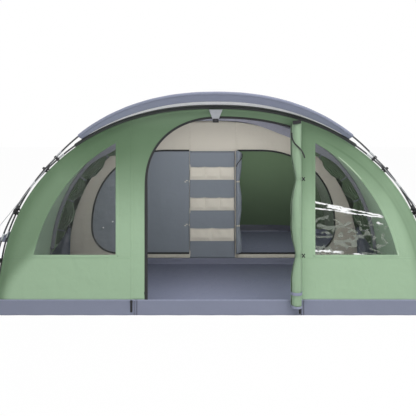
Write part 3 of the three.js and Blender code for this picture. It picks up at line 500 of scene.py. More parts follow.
def finish_of(make, name, *args, **settings):
    """The finish of that name, made the first time that it is asked for."""
    if name not in FINISHES:
        FINISHES[name] = make(name, *args, **settings)
    return FINISHES[name]


def height_shade(clear, dark, most):
    """A painted shade that is nothing at one height and grows to its most at another."""
    return lambda s: s.z.ramp(clear, dark) * most


def woven(name, base, thread=0.0022, creases=1.0, shade=None, deep=(0.30, 0.30, 0.30)):
    """Plain-woven cloth: threads over and under, soft creases and faint fading; shade is painted shade, and
    deep is how dark it is.
    """
    s, fade = Shader(name), 0.05
    along, across = s.cut()
    turn = 2 * np.pi / thread
    weave = (along * turn).sin() * (across * turn).sin()
    soft = s.noise(1.7, 3, (1, 1, 1.4))
    crumple = s.noise(9.0, 4, (1, 1, 0.7), Distortion=0.6)
    cloud = s.noise(2.6, 5)
    share = cloud * (2 * fade) + weave * 0.03 + crumple * fade
    shown = s.blend(share + (0.5 - 1.5 * fade), tint(base, 0.82), tint(base, 1.18))
    # Painted shade: where shade is high the colour goes towards deep times the colour.
    if shade:
        shown = s.blend(shade(s), shown, tuple(value * part for value, part in zip(base, deep)))
    normal = s.bump(soft, 0.018 * creases)
    normal = s.bump(crumple, 0.0036 * creases, normal)
    normal = s.bump(weave, 0.00012, normal)
    rough = 0.88 + crumple * 0.08
    return s.finish(Base_Color=shown, Roughness=rough, Normal=normal, Sheen_Weight=0.12, Sheen_Roughness=0.5)


def stitched(name, base):
    """Woven tape: diagonal ribs, a row of stitches along each edge and a soft fold."""
    s = Shader(name)
    round_it, along = s.cut()
    ribs = ((round_it + along) * (2 * np.pi / 0.0016)).sin()
    stitch = (along.wrap(0.006) < 0.004) * (s.noise(400, 0) * 0.2 + 0.8)
    worn = s.noise(30, 4)
    shown = s.blend(worn * 0.6 + ribs * 0.08 + stitch * 0.12, tint(base, 0.8), tint(base, 1.3))
    normal = s.bump(ribs, 0.00012, s.bump(worn, 0.0008))
    return s.finish(Base_Color=shown, Roughness=0.7 + worn * 0.12, Normal=normal)


def zip_tape(name, base):
    """A coiled zip under its cover: teeth across the tape, darker between them."""
    s = Shader(name)
    along = s.cut()[1]
    teeth = (along * (2 * np.pi / 0.0045)).sin()
    worn = s.noise(22, 3)
    shown = s.blend(teeth.ramp(-0.4, 0.6) * 0.5 + worn * 0.5, tint(base, 0.6), tint(base, 1.7))
    return s.finish(Base_Color=shown, Roughness=0.5 + worn * 0.15, Normal=s.bump(teeth, 0.0004))


def tarpaulin(name, base, shade=None):
    """Woven polyethylene: flat tapes over and under, a sheen and shallow creases."""
    s = Shader(name)
    along, across = s.cut()
    turn = 2 * np.pi / 0.006
    weave = (along * turn).sin() * (across * turn).sin()
    soft = s.noise(2.2, 4, Distortion=0.4)
    crease = abs(s.noise(3.1, 2, Distortion=1.1) - 0.5).ramp(0.03, 0.0)
    dust = s.noise(14, 6)
    shown = s.blend(dust * 0.45 + weave * 0.05 + 0.25, tint(base, 0.85), tint(base, 1.15))
    # Painted shade: where shade is high the colour goes towards a fifth of itself.
    if shade:
        shown = s.blend(shade(s), shown, tint(base, 0.2))
    normal = s.bump(soft, 0.012)
    normal = s.bump(crease, 0.0015, normal)
    normal = s.bump(weave, 0.00018, normal)
    return s.finish(Base_Color=shown, Roughness=0.42 + dust * 0.2, Normal=normal)


def moulded(name, base):
    """Moulded plastic: a fine grain, and worn paler in patches."""
    s = Shader(name)
    grain, wear = s.noise(900, 2), s.noise(60, 4)
    shown = s.blend(wear.ramp(0.5, 0.8) * 0.6, base, tint(base, 1.8))
    return s.finish(Base_Color=shown, Roughness=0.42 + wear * 0.2, Normal=s.bump(grain, 0.0001))


def glass_fibre(name, base):
    """A pultruded rod: faint lengthwise streaks and a satin face."""
    s = Shader(name)
    around = s.cut()[0]
    streak = (around * 2600).sin() * 0.5 + 0.5
    dust = s.noise(18, 5)
    shown = s.blend(dust * 0.6 + streak * 0.25, tint(base, 0.75), tint(base, 1.5))
    return s.finish(Base_Color=shown, Roughness=0.34 + dust * 0.2, Normal=s.bump(streak, 0.00005))


def metal(name, base):
    """Plated steel: fine scratches and duller patches."""
    s = Shader(name)
    scratch, patch = s.noise(300, 2, (1, 1, 0.05)), s.noise(40, 3)
    shown = s.blend(patch, tint(base, 0.85), base)
    rough = 0.3 + patch * 0.2
    return s.finish(Base_Color=shown, Metallic=1.0, Roughness=rough, Normal=s.bump(scratch, 0.0001))


def braid(name, base):
    """Braided cord: two sets of strands that cross as they wind round it."""
    s = Shader(name)
    around, along = s.cut()
    one, two = ((along + around * side) * (2 * np.pi / 0.0024) for side in (1, -1))
    strands = one.sin().most(two.sin())
    shown = s.blend(strands.ramp(-0.2, 0.9), tint(base, 0.65), tint(base, 1.12))
    return s.finish(Base_Color=shown, Roughness=0.8, Normal=s.bump(strands, 0.0002))


def netting(name, base):
    """Fine netting: dark holes between threads that cross each way."""
    s = Shader(name)
    along, across = s.cut()
    turn = 2 * np.pi / 0.0032
    threads = (along * turn).sin().most((across * turn).sin())
    shown = s.blend(threads.ramp(0.3, 0.9), tint(base, 0.3), tint(base, 1.5))
    return s.finish(Base_Color=shown, Roughness=0.85, Normal=s.bump(threads, 0.0003))


def film(name, streaks):
    """Clear soft film: shallow waves and a little haze; where streaks are given, painted white reflections
    along creases and dark blotches low down.
    """
    s = Shader(name)
    waves = s.noise(4.0, 3, (1, 1, 1.6), Distortion=0.8)
    fine = s.noise(17.0, 3, Distortion=1.2)
    alpha = fine.ramp(0.35, 0.9) * 0.03 + 0.015
    if streaks:
        ragged = s.noise(7.0, 4, (1, 1, 1.8), Distortion=0.7)
        broken = s.noise(21.0, 4, (0.55, 1, 1.4), Distortion=1.4)
        white = None
        # Each streak is a painted reflection: a ragged white line along a crease.
        for height, slope, width, spread, start, end in streaks:
            centre = (s.x - 0.95) * slope + height + (ragged - 0.5) * spread
            swell = broken.ramp(0.3, 0.62) * width * 2
            reach = s.x.ramp(start, start + 0.03) * s.x.ramp(end, end - 0.08)
            line = (abs(s.z - centre) / swell).ramp(1.0, 0.5) * broken.ramp(0.36, 0.44) * reach
            white = line if white is None else white.most(line)
        patches = s.noise(10.0, 4, (0.7, 1, 1), Distortion=1.8)
        blotch = patches.ramp(0.545, 0.575) * s.z.ramp(1.02, 0.9) * 0.45
        alpha = alpha.most(white * 0.95).most(blotch)
        shown = s.blend(white, (0.24, 0.27, 0.23), (0.93, 0.94, 0.94))
    else:
        shown = s.blend(fine, (0.62, 0.66, 0.64), (0.8, 0.83, 0.82))
    normal = s.bump(fine, 0.0016, s.bump(waves, 0.012))
    material = s.finish(Base_Color=shown, Alpha=alpha, Roughness=0.1, Normal=normal)
    material.surface_render_method = "BLENDED"
    return material


def colours():
    return bpy.context.scene.tent_colours


def cloth_of(key, factor=1.0, **settings):
    """Woven cloth in one of the tent's colours, lighter or darker by a factor."""
    name = settings.pop("name", f"{key} cloth")
    return finish_of(woven, name, tint(tuple(getattr(colours(), key)), factor), **settings)


def tape_of(key, factor=1.0):
    """Woven tape in one of the tent's colours, lighter or darker by a factor."""
    return finish_of(stitched, f"{key} tape {factor:g}", tint(tuple(getattr(colours(), key)), factor))


def dark_cloth():
    return cloth_of("dark", thread=0.002, creases=0.4)


def black_zip():
    return finish_of(zip_tape, "door zip", srgb(20, 21, 22))


def black_plastic():
    return finish_of(moulded, "black plastic", srgb(22, 23, 25))


def black_webbing():
    return finish_of(stitched, "black webbing", srgb(27, 28, 30))


def pale_plastic():
    return finish_of(moulded, "pale plastic", srgb(196, 192, 178))


def plated_steel():
    return finish_of(metal, "plated steel", srgb(190, 193, 196))


def mesh_panel():
    return finish_of(netting, "insect mesh", srgb(52, 55, 55))


# ---------------------------------------------------------------- stage and guylines


def look_at(obj, place, target):
    """Put an object at a place and point its -Z at a target."""
    obj.location = place
    obj.rotation_euler = (Vector(target) - Vector(place)).to_track_quat("-Z", "Y").to_euler()


def lamp(name, place, target, size, power):
    """A soft rectangle of light that the camera doesn't see."""
    light = bpy.data.lights.new(name, "AREA")
    light.shape, light.size, light.size_y, light.energy = "RECTANGLE", *size, power
    obj = bpy.data.objects.new(name, light)
    bpy.context.collection.objects.link(obj)
    obj.visible_camera = False
    look_at(obj, place, target)


class TENT_OT_stage(bpy.types.Operator):
    """Camera, pale floor, white surroundings and soft lamps"""

    bl_idname = "tent.stage"
    bl_label = "Stage"

    def execute(self, context):
        lens = bpy.data.cameras.new("camera")
        lens.lens, lens.sensor_width, lens.shift_y = 40, 36, -0.1755
        camera = bpy.data.objects.new("camera", lens)
        context.collection.objects.link(camera)
        camera.location, camera.rotation_euler = (-0.071, -5.27, 1.714), (np.pi / 2, 0, 0)
        context.scene.camera = camera
        context.scene.view_settings.view_transform = "Standard"
        self.floor(context)
        self.world(context)
        lamp("overhead", (0.9, -3.4, 6.2), (0, -0.4, 0.6), (7.0, 4.6), 330)
        lamp("front right", (4.6, -7.0, 3.2), (0, -0.6, 0.9), (3.4, 2.6), 95)
        lamp("living area", (0, -0.25, 1.72), (0, 0.75, 0.9), (1.5, 0.3), 7.5)
        lamp("doorway", (0.05, -0.55, 0.75), (0.05, 0.9, 0.45), (1.5, 0.8), 3.6)
        lamp("under the roof", (0.1, -0.05, 1.35), (0.1, 0.1, 2.0), (2.2, 0.5), 3)
        lamp("behind the arch tape", (0.5, 0.74, 1.5), (0.5, 0.74, 2.0), (1.5, 0.06), 0.25)
        lamp("right bedroom", (0.75, 1.2, 1.3), (0.8, 2.6, 0.9), (0.6, 0.3), 15)
        for sign, power in ((-1, 1.0), (1, 4.2)):
            lamp("window", (sign * 1.40, -0.6, 0.8), (sign * 1.5, 0.8, 0.8), (0.4, 0.6), power)
        return {"FINISHED"}

    def floor(self, context):
        """A wide pale floor that is nearly all white to the camera, so that only shadows show on it."""
        x, y = np.meshgrid(np.linspace(-60, 60, 3), np.linspace(-60, 60, 3), indexing="ij")
        floor = bpy.data.objects.new("floor", mesh_of("floor", [flat(points(x, y, -0.001))]))
        context.collection.objects.link(floor)
        s = Shader("pale floor")
        s.finish(Base_Color=(0.9, 0.9, 0.91), Roughness=0.7)
        seen = s.node("ShaderNodeLightPath")
        glow = s.node("ShaderNodeEmission", {}, {"Color": (1.0, 1.0, 1.0), "Strength": 1.0})
        mixed = {0: seen * 0.97, 1: Value(s, s.surface.outputs[0]), 2: glow}
        shown = s.node("ShaderNodeMixShader", {}, mixed)
        s.put(s.tree.nodes["Material Output"].inputs["Surface"], shown)
        floor.data.materials.append(s.material)

    def world(self, context):
        """White to the camera, to mirrors and through film, and a dimmer white as a light."""
        world = bpy.data.worlds.new("surroundings")
        world.use_nodes = True
        context.scene.world = world
        nodes, links = world.node_tree.nodes, world.node_tree.links
        light, path = nodes["Background"], nodes.new("ShaderNodeLightPath")
        light.inputs["Color"].default_value, light.inputs["Strength"].default_value = (1, 1, 1, 1), 0.42
        white, both = nodes.new("ShaderNodeBackground"), nodes.new("ShaderNodeMixShader")
        white.inputs["Color"].default_value = (1, 1, 1, 1)
        white.inputs["Strength"].default_value = 1.0
        either = [nodes.new("ShaderNodeMath") for _ in range(2)]
        for node, sources in zip(either, (("Is Camera Ray", "Is Glossy Ray"), (None, "Is Transmission Ray"))):
            node.operation = "MAXIMUM"
            for socket, source in zip(node.inputs, sources):
                links.new(path.outputs[source] if source else either[0].outputs[0], socket)
        links.new(either[1].outputs[0], both.inputs[0])
        links.new(light.outputs[0], both.inputs[1])
        links.new(white.outputs[0], both.inputs[2])
        links.new(both.outputs[0], nodes["World Output"].inputs["Surface"])


def guyline_frame(sign):
    """Where a guyline starts beside the brow pole and loops round its peg, the way down it and across it."""
    start, loop = mirrored(np.array(GUYLINE_START), sign), mirrored(np.array(GUYLINE_LOOP), sign)
    down = unit(loop - start)
    across = unit(np.array([-down[1], down[0], 0]) * sign)
    return start, loop, down, across


class TENT_OT_guylines(bpy.types.Operator):
    """Guylines down to their pegs and back up, with runners and bent wire pegs"""

    bl_idname = "tent.guylines"
    bl_label = "Guylines"

    def execute(self, context):
        for side, sign in SIDES.items():
            runner = self.runner(side, sign)
            peg = self.peg(side, sign)
            self.line(side, sign, runner, peg)
        return {"FINISHED"}

    def line(self, side, sign, runner, peg):
        """Straight down, half a turn round the peg, and straight back up to the runner."""
        start, loop, down, across = guyline_frame(sign)
        aside, end = across * STRAND_GAP, start + down * RUNNER_PLACE
        turn = np.linspace(0, np.pi, 25)[:, None]
        bend = loop + aside * np.cos(turn) + down * STRAND_GAP * np.sin(turn)
        away, back = [start + aside, bend[0]], [bend[-1], end - aside]
        path = chain((away, 160), (bend, 40), (back, 150))
        finish = finish_of(braid, "braided cord", tuple(colours().cord))
        strands = tube(path, STRAND_RADIUS, 10)
        line = piece(f"guyline_{side}_cord", finish, strands, nodes=[f"guyline_{side}"])
        knot = piece(f"guyline_{side}_knot", finish, *self.knot(sign, path[0]))

    def knot(self, sign, place):
        """Two turns of cord round the pole and a small lump where they are tied."""
        reach, rise, strand = 0.0097, 0.006, 0.0014
        middle = brow_route(sign * np.array([0.466, 0.47, 0.474]))
        along = unit(middle[2] - middle[0])
        one = unit(place - middle[1] - along * np.dot(place - middle[1], along))
        two = np.cross(along, one)
        turn = np.linspace(0, 4 * np.pi, 80)[:, None]
        coil = middle[1] + reach * (one * np.cos(turn) + two * np.sin(turn))
        coil = coil + along * (turn / (4 * np.pi) - 0.5) * rise
        lump = bead(place + one * 0.001, (0.006, 0.006, 0.008), 0.8)
        return tube(coil, strand, 8, across=along), lump

    def runner(self, side, sign):
        """A flat bar whose half width narrows to its middle by a cosine."""
        start, _, down, across = guyline_frame(sign)
        half, wide, waist, deep = 0.022, 0.0122, 0.0018, 0.0042
        run = np.linspace(-1, 1, 40)
        path = start + down * (RUNNER_PLACE + half * run[:, None])
        ends = np.clip(1 - np.abs(run) ** 14, 0.2, 1) ** 0.5
        bar = sweep(path, across, (wide - waist * np.cos(np.pi * run)) * ends, deep * ends, 28, 0.75)
        node = f"runner_{side}"
        return piece(f"{node}_bar", black_plastic(), bar, body=f"{node}_body", nodes=[node])

    def peg(self, side, sign):
        """A leaning wire shaft with a half-round hook."""
        _, loop, down, across = guyline_frame(sign)
        wire, bend, above, ground = 0.0034, 0.011, 0.034, 0.0029
        outward = unit(np.array([down[0], down[1], 0]))
        shaft = outward * -down[2] + np.array([0, 0, 1]) * np.dot(down, outward)
        middle = loop + down * 0.0027
        top, foot = middle + shaft * above, middle + shaft * (ground - middle[2]) / shaft[2]
        turn = np.linspace(0, np.pi, 24)[:, None]
        hook = top + down * bend - down * bend * np.cos(turn) + shaft * bend * np.sin(turn)
        rod = tube(chain(([foot, top], 24), (hook, 24)), wire, 14, across=across)
        return piece(f"peg_{side}_wire", plated_steel(), rod, nodes=[f"peg_{side}"])


# ---------------------------------------------------------------- poles


class TENT_OT_poles(bpy.types.Operator):
    """Four arched poles with ferrules and foot caps, and the sleeves over their crowns"""

    bl_idname = "tent.poles"
    bl_label = "Poles and sleeves"

    def execute(self, context):
        routes = {
            "front": (partial(upright_route, y=FRONT_ARCH), ("left", "crown", "right")),
            "brow": (brow_route, ("left", "crown", "right")),
            "middle": (partial(upright_route, y=MIDDLE_ARCH), ("left", "right")),
            "rear": (partial(upright_route, y=REAR_ARCH), ("left", "right")),
        }
        rod = finish_of(glass_fibre, "glass fibre", tuple(colours().pole))
        for name, (route, parts) in routes.items():
            path = resample(route(even_shares(-1, 1, 900)), 420)
            nodes = [f"pole_{name}_{part}" for part in parts]
            piece(f"pole_{name}", rod, tube(path, POLE_RADIUS, 16), nodes=nodes)
            rings = [self.length_of(route, sign * share, 0.035) for share in FERRULES for sign in (-1, 1)]
            piece(f"ferrules_{name}", plated_steel(), *[tube(ring, 0.0093, 16) for ring in rings])
            feet = [self.length_of(route, sign * 0.985, 0.028) for sign in (-1, 1)]
            piece(f"feet_{name}", black_plastic(), *[tube(foot, 0.0105, 16) for foot in feet])
        for name, (route, _) in routes.items():
            end = BROW_END if name == "brow" else ROOF_END
            self.sleeve(name, route, end, dark_cloth() if name == "front" else cloth_of("grey"))
        return {"FINISHED"}

    def length_of(self, route, share, half):
        """A short stretch of a pole on both sides of a share."""
        near = resample(route(np.linspace(share - 0.03, min(share + 0.03, 1), 60)), 400)
        run = np.linalg.norm(near - route(np.array([share]))[0], axis=1)
        return resample(near[run < half], 8)

    def sleeve(self, name, route, end, finish):
        """A tube round the pole, gathered into shallow ripples, drawn in to the pole at its ends."""
        path = resample(route(even_shares(-end, end, 900)), 460)
        run = np.linspace(0, 1, len(path))
        size = np.linalg.norm(np.diff(path, axis=0), axis=1).sum()
        turn = np.linspace(0, 2 * np.pi, 16, endpoint=False)
        ripple = np.sin(run * size / 0.052 * 2 * np.pi)[:, None] * np.cos(turn) * 0.03
        ripple = ripple + np.sin(run * size / 0.21 * 2 * np.pi)[:, None] * np.sin(2 * turn + 1) * 0.03
        edge = np.minimum(run, 1 - run) * size
        radius = mix(0.0092, SLEEVE_RADIUS, smooth(0, 0.014, edge))
        piece(f"sleeve_{name}_cloth", finish, tube(path, radius, 16, 1 + ripple), nodes=[f"sleeve_{name}"])


# ---------------------------------------------------------------- the fly


def fly_sag(y, share):
    """4 t (1 - t) times the sag between two poles, fading out towards the ground as 1 - |share|^6."""
    sag = bpy.context.scene.tent_sizes.sag
    stations = [FRONT_ARCH, MIDDLE_ARCH, REAR_ARCH]
    t = np.interp(y, stations, [0, 1, 2], left=0, right=2) % 1
    return sag * 4 * t * (1 - t) * (1 - np.abs(share) ** 6)


def fly_puckers(y, run):
    """Small ripples of 9 cm that die away within 7 cm of each pole."""
    near = np.min([np.abs(y - station) for station in (FRONT_ARCH, MIDDLE_ARCH, REAR_ARCH)], axis=0)
    return 0.0011 * np.sin(run * 2 * np.pi / 0.09) * np.exp(-near / 0.07)


def fly_rows():
    """Places along the tent, closer together beside the poles."""
    steps = [np.linspace(FRONT + 0.014, FRONT_ARCH, 3)]
    for start, end in ((FRONT_ARCH, MIDDLE_ARCH), (MIDDLE_ARCH, REAR_ARCH)):
        t = np.linspace(0, np.pi, 42)
        steps.append(start + (end - start) * (1 - np.cos(t)) / 2)
    steps.append(np.linspace(REAR_ARCH, FLY_BACK, 3))
    return np.unique(np.round(np.concatenate(steps), 5))


def fly_surface(start, end, columns):
    """The arch between two shares, carried along the tent less its sag and with its puckers."""
    share = even_shares(start, end, columns)
    run = np.concatenate([[0], np.cumsum(np.hypot(*np.diff(arch(share))))])
    y, s = np.meshgrid(fly_rows(), share, indexing="ij")
    x, z = arch(s, -CLOTH_INSET - fly_sag(y, s) + fly_puckers(y, run[None]))
    return points(x, y, np.maximum(z, 0.001))


def arch_strap(y, start, end, lift, width, thickness, count=160):
    """A band laid along the arch in one plane, that far out from it."""
    x, z = arch(even_shares(start, end, count), lift)
    return strap(points(x, y, z), (0, 1, 0), width, thickness)


class TENT_OT_fly(bpy.types.Operator):
    """Roof and walls of the fly, hanging in a little between the poles, with their seams"""

    bl_idname = "tent.fly"
    bl_label = "Fly"

    def execute(self, context):
        roof = fly_surface(-ROOF_END, ROOF_END, 260)
        cloth_piece("roof_cloth", cloth_of("grey"), flat(roof), nodes=["fly_roof"], on=["sleeve_front_cloth"])
        for side, sign in SIDES.items():
            ends = sorted((sign * ROOF_END, sign * 1.0))
            wall = fly_surface(*ends, 150)
            nodes = [f"fly_wall_{side}"]
            cloth_piece(f"wall_{side}_cloth", cloth_of("green"), flat(wall), nodes=nodes, on=["roof_cloth"])
            self.seams(side, sign, wall)
        self.rear()
        return {"FINISHED"}

    def seams(self, side, sign, wall):
        """Tapes along the roof seam and the hem, and round the wall at the middle and rear poles."""
        edge, hem = (0, -1) if sign > 0 else (-1, 0)
        lap = resample(wall[:, edge], 160) + np.array([sign * 0.0008, 0, 0.0012])
        foot = resample(wall[:, hem], 120) + np.array([0, 0, 0.012])
        up = unit(np.array([-sign * 0.62, 0, 0.78]))
        bands = [strap(lap, up, 0.016, 0.0016), strap(foot, (0, 0, 1), 0.022, 0.0034)]
        piece(f"seams_{side}", tape_of("green", 0.9), *bands)
        tapes = [
            arch_strap(y, *sorted((sign * ROOF_END, sign * 0.995)), 0.0012, 0.03, 0.0016)
            for y in (MIDDLE_ARCH, REAR_ARCH)
        ]
        piece(f"wall_tapes_{side}", tape_of("green", 0.8), *tapes)

    def rear(self):
        """A ruled surface from the rear arch down to a superellipse on the ground, hanging in a little."""
        share = even_shares(-0.995, 0.995, 220)
        x, z = arch(share, -CLOTH_INSET)
        top = points(x, FLY_BACK + 0.002, z)
        turn, depth = np.abs(share) * np.pi / 2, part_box("rear_panel")[1][1] - FLY_BACK - 0.002
        foot_x = np.sign(share) * (FLY[0] - CLOTH_INSET) * np.sin(turn) ** (2 / 3)
        foot = points(foot_x, FLY_BACK + depth * np.cos(turn) ** (2 / 3), 0.001)
        grid = between(top, foot, 60)
        v = np.linspace(0, 1, 60)[:, None]
        inward = 0.02 * 4 * v * (1 - v) * np.cos(turn)[None] ** 0.5
        inward = inward + 0.002 * np.sin(v * 9 + share[None] * 14) * v * (1 - v) * 4
        grid = grid - points(0 * inward, inward, 0.4 * inward)
        cloth_piece("rear_cloth", cloth_of("green"), flat(grid), nodes=["rear_panel"], on=["roof_cloth"])
        lift = np.array([0, 0.001, 0.0004])
        bands = [strap(grid[:, i] + lift, (1, 0, 0), 0.014, 0.0015) for i in (66, 153)]
        hem = strap(grid[-1, 2:-2] + np.array([0, 0.001, 0.012]), (0, 0, 1), 0.022, 0.003)
        piece("rear_seams", tape_of("green", 0.9), *bands, hem)
        self.rear_vent()

    def rear_vent(self):
        """A mesh vent in the rear panel and the flap over it, which curls out by the square of its length."""
        low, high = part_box("rear_vent_flap")
        slope = np.arctan2(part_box("rear_panel")[1][1] - FLY_BACK, FLY[1])
        hinge = np.array([0, low[1], high[2] - 0.001])
        down, out = np.array([0, np.sin(slope), -np.cos(slope)]), np.array([0, np.cos(slope), np.sin(slope)])
        half, long, side = 0.2, 0.258, np.array([1, 0, 0])
        u, v = np.meshgrid(np.linspace(-half, half, 40), np.linspace(0, long, 30))
        curl = 0.0015 + 0.010 * (v / long) ** 2 * (1 - 0.4 * (u / half) ** 2)
        flap = hinge + u[..., None] * side + v[..., None] * down + curl[..., None] * out
        cloth_piece(
            "rear_vent_cloth", cloth_of("grey"), flat(flap), body="rear_vent_flap_body",
            nodes=["rear_vent_flap"], held="hung", on=["rear_cloth"], thick=0.0016,
        )
        rim = chain((flap[:, 0], 40), (flap[-1], 60), (flap[::-1, -1], 40))
        piece("rear_vent_binding", tape_of("grey", 0.75), tube(rim, 0.0028, 8), body="rear_vent_flap_body")
        patch = hinge + (u * 0.85)[..., None] * side + (v * 0.8 + 0.02)[..., None] * down - 0.001 * out
        piece("rear_vent_netting", mesh_panel(), flat(patch))


class TENT_OT_brow(bpy.types.Operator):
    """The brow from its pole back to the front pole, with a pale tape beside the dark sleeve that is a
    painted highlight
    """

    bl_idname = "tent.brow"
    bl_label = "Brow"

    def execute(self, context):
        """Ruled from the brow pole to the front pole, sunk by 4v (1 - v) of the billow under its tapes."""
        share = even_shares(-BROW_END, BROW_END, 240)
        front, back = brow_route(share), upright_route(share, FRONT_ARCH)
        way = unit(back - front)
        along = unit(np.gradient(front, axis=0))
        up = np.cross(way, along)
        up = up * np.sign(up[:, 2:])
        start, end = front + way * 0.016, back - way * 0.004 + up * 0.0145
        v = np.linspace(0, 1, 40)[:, None, None]
        billow = context.scene.tent_sizes.billow * (1 - (np.abs(share) / BROW_END) ** 4)[:, None]
        surface = start * (1 - v) + end * v - up * billow * 4 * v * (1 - v)
        surface = surface + up * 0.0012 * np.sin(np.linspace(0, 140, 240))[:, None] * np.exp(-v / 0.12)
        # The brow is the grey cloth made a quarter lighter: painted light for its shaded underside.
        cloth = cloth_of("grey", 1.25, name="brow grey")
        cloth_piece("brow_cloth", cloth, flat(surface), nodes=["front_brow"], on=["sleeve_brow_cloth"])
        inner = (0.48 + 0.24 * (np.abs(share) / BROW_END) ** 2)[:, None]
        v = mix(inner, 0.80, np.linspace(0, 1, 8)[:, None, None])
        strip = start * (1 - v) + end * v - up * (billow * 4 * v * (1 - v) + 0.0032)
        # A near-white tape beside the dark sleeve: a painted highlight where light falls on the brow.
        pale = finish_of(stitched, "pale brow tape", srgb(244, 244, 248))
        cloth_piece("brow_tape", pale, flat(strip[:, 8:-8]), on=["brow_cloth"])
        v = np.linspace(0.78, 1.0, 6)[:, None, None]
        fold = start * (1 - v) + end * v - up * (billow * 4 * v * (1 - v) + 0.0048)
        cloth_piece("brow_fold", dark_cloth(), flat(fold), on=["brow_cloth"])
        rim = sweep(resample(surface[0, 2:-2], 220), way.mean(axis=0), 0.006, 0.002, 10, 0.5)
        ends = [sweep(resample(surface[:, k], 30), along[k], 0.007, 0.002, 10, 0.5) for k in (1, -2)]
        piece("brow_hems", tape_of("grey", 1.1), rim, *ends)
        return {"FINISHED"}


# ---------------------------------------------------------------- front


SEAMS = {"left": 0.80, "right": 0.83}
DOOR_LEFT, DOOR_RIGHT, DOOR_SPRING, DOOR_TOP, DOOR_TOP_X, DOOR_FALL = -0.66, 0.80, 1.25, 1.881, 0.05, 0.119
WINDOW_INNER, WINDOW_BOTTOM = 0.938, 0.562
FRONT_SEAM = 0.543
TAPE_LIFT = 0.0022


def share_of(x, size=FLY):
    """The share at which the arch is that far across, from the inverse sine of (x/a)^(n/2)."""
    return np.sign(x) * np.arcsin(np.clip(np.abs(x) / size[0], 0, 1) ** (POWER / 2)) * 2 / np.pi


def arch_line(start, end, y, size=FLY, offset=0.0, count=120):
    """The arch between two shares in one plane."""
    x, z = arch(np.linspace(start, end, count), offset, size)
    return points(x, y, z)


def line(*corners, y=0.0):
    """Straight runs between places given as across and up."""
    return points(np.array([c[0] for c in corners]), y, np.array([c[1] for c in corners]))


def ribbon(path, width, thickness=0.002, across=(0, 1, 0)):
    """A tape that lies in the plane square to across."""
    return sweep(path, across, thickness / 2, width / 2, 12, 0.35)


def lay_on_front(grid, lift=0.0008):
    """The front's face: flat with faint waves, and curved back by the margin near the arch as 3t^2 - 2t^3."""
    x, z = grid[..., 0], grid[..., 2]
    level = ((np.abs(x) / FLY[0]) ** POWER + (np.clip(z, 0, None) / FLY[1]) ** POWER) ** (1 / POWER)
    back = bpy.context.scene.tent_sizes.margin * smooth(0.962, 1.0, level)
    slack = 0.0022 * np.sin(5.1 * x + 2.3 * z) * np.sin(3.7 * z - 1.9 * x + 1) * smooth(0.15, 0.5, z)
    return points(x, FRONT - lift + back + slack, z)


def window_runs():
    """The window of the right side: along its foot, up the arch and down its inner edge."""
    foot, top = half_width(WINDOW_BOTTOM, PANE), arch_height(WINDOW_INNER, PANE)
    return (
        line((WINDOW_INNER, WINDOW_BOTTOM), (foot, WINDOW_BOTTOM)),
        arch_line(share_of(foot, PANE), share_of(WINDOW_INNER, PANE), 0, PANE),
        line((WINDOW_INNER, top), (WINDOW_INNER, WINDOW_BOTTOM)),
    )


def door_edge():
    """The doorway: up the jamb, round a quarter superellipse, down an easy curve and down the right side."""
    across, up = corner(DOOR_TOP_X - DOOR_LEFT, DOOR_TOP - DOOR_SPRING, 2.2, 81)
    bend = points(DOOR_TOP_X - across, 0, DOOR_SPRING + up)[::-1]
    run = DOOR_RIGHT - DOOR_TOP_X
    ends = [(DOOR_TOP_X, DOOR_TOP), (DOOR_TOP_X + 0.4 * run, DOOR_TOP)]
    ends += [(DOOR_RIGHT - 0.25 * run, DOOR_TOP - 0.4 * DOOR_FALL), (DOOR_RIGHT, DOOR_TOP - DOOR_FALL)]
    fall = bezier([(x, 0, z) for x, z in ends], 60)
    return (
        line((DOOR_LEFT, SKIRT_TOP), (DOOR_LEFT, DOOR_SPRING)),
        bend[:41],
        bend[40:],
        fall,
        line((DOOR_RIGHT, DOOR_TOP - DOOR_FALL), (DOOR_RIGHT, SKIRT_TOP)),
    )


def front_cloth():
    """The front's green with painted shade: darker under the brow and along its edge, more so on the left."""

    def shade(s):
        """Painted shade: the greatest of a rise with height and two bands near the arch, whose level is 1
        there.
        """
        level = (abs(s.x) / FLY[0]).power(POWER) + (s.z / FLY[1]).power(POWER)
        near_left = (level + s.z.ramp(0.15, 0.80) * 0.27).ramp(0.85, 1.02) * s.x.ramp(-0.5, -1.1)
        near_left = near_left * (level.ramp(0.84, 0.97) * 0.16 + 0.55)
        near_right = level.ramp(0.80, 0.93) * s.x.ramp(0.0, 0.6) * 0.40
        # fold: a thin line of painted shade where the face turns back into the margin.
        fold = abs(level - 0.885).ramp(0.016, 0.004) * s.x.ramp(0.9, 1.3) * 0.12
        edge = near_left.most(near_right)
        # dark: painted shade that grows with height under the brow, more so on the left.
        dark = s.z.ramp(0.78, 1.62) * (s.x.ramp(1.2, -0.6) * 0.12 + 0.70) - s.z.ramp(1.74, 1.90) * 0.16
        return dark.most(edge) + edge * 0.20 + fold

    return cloth_of("green", name="front green", shade=shade, deep=(0.26, 0.33, 0.25), creases=1.3)


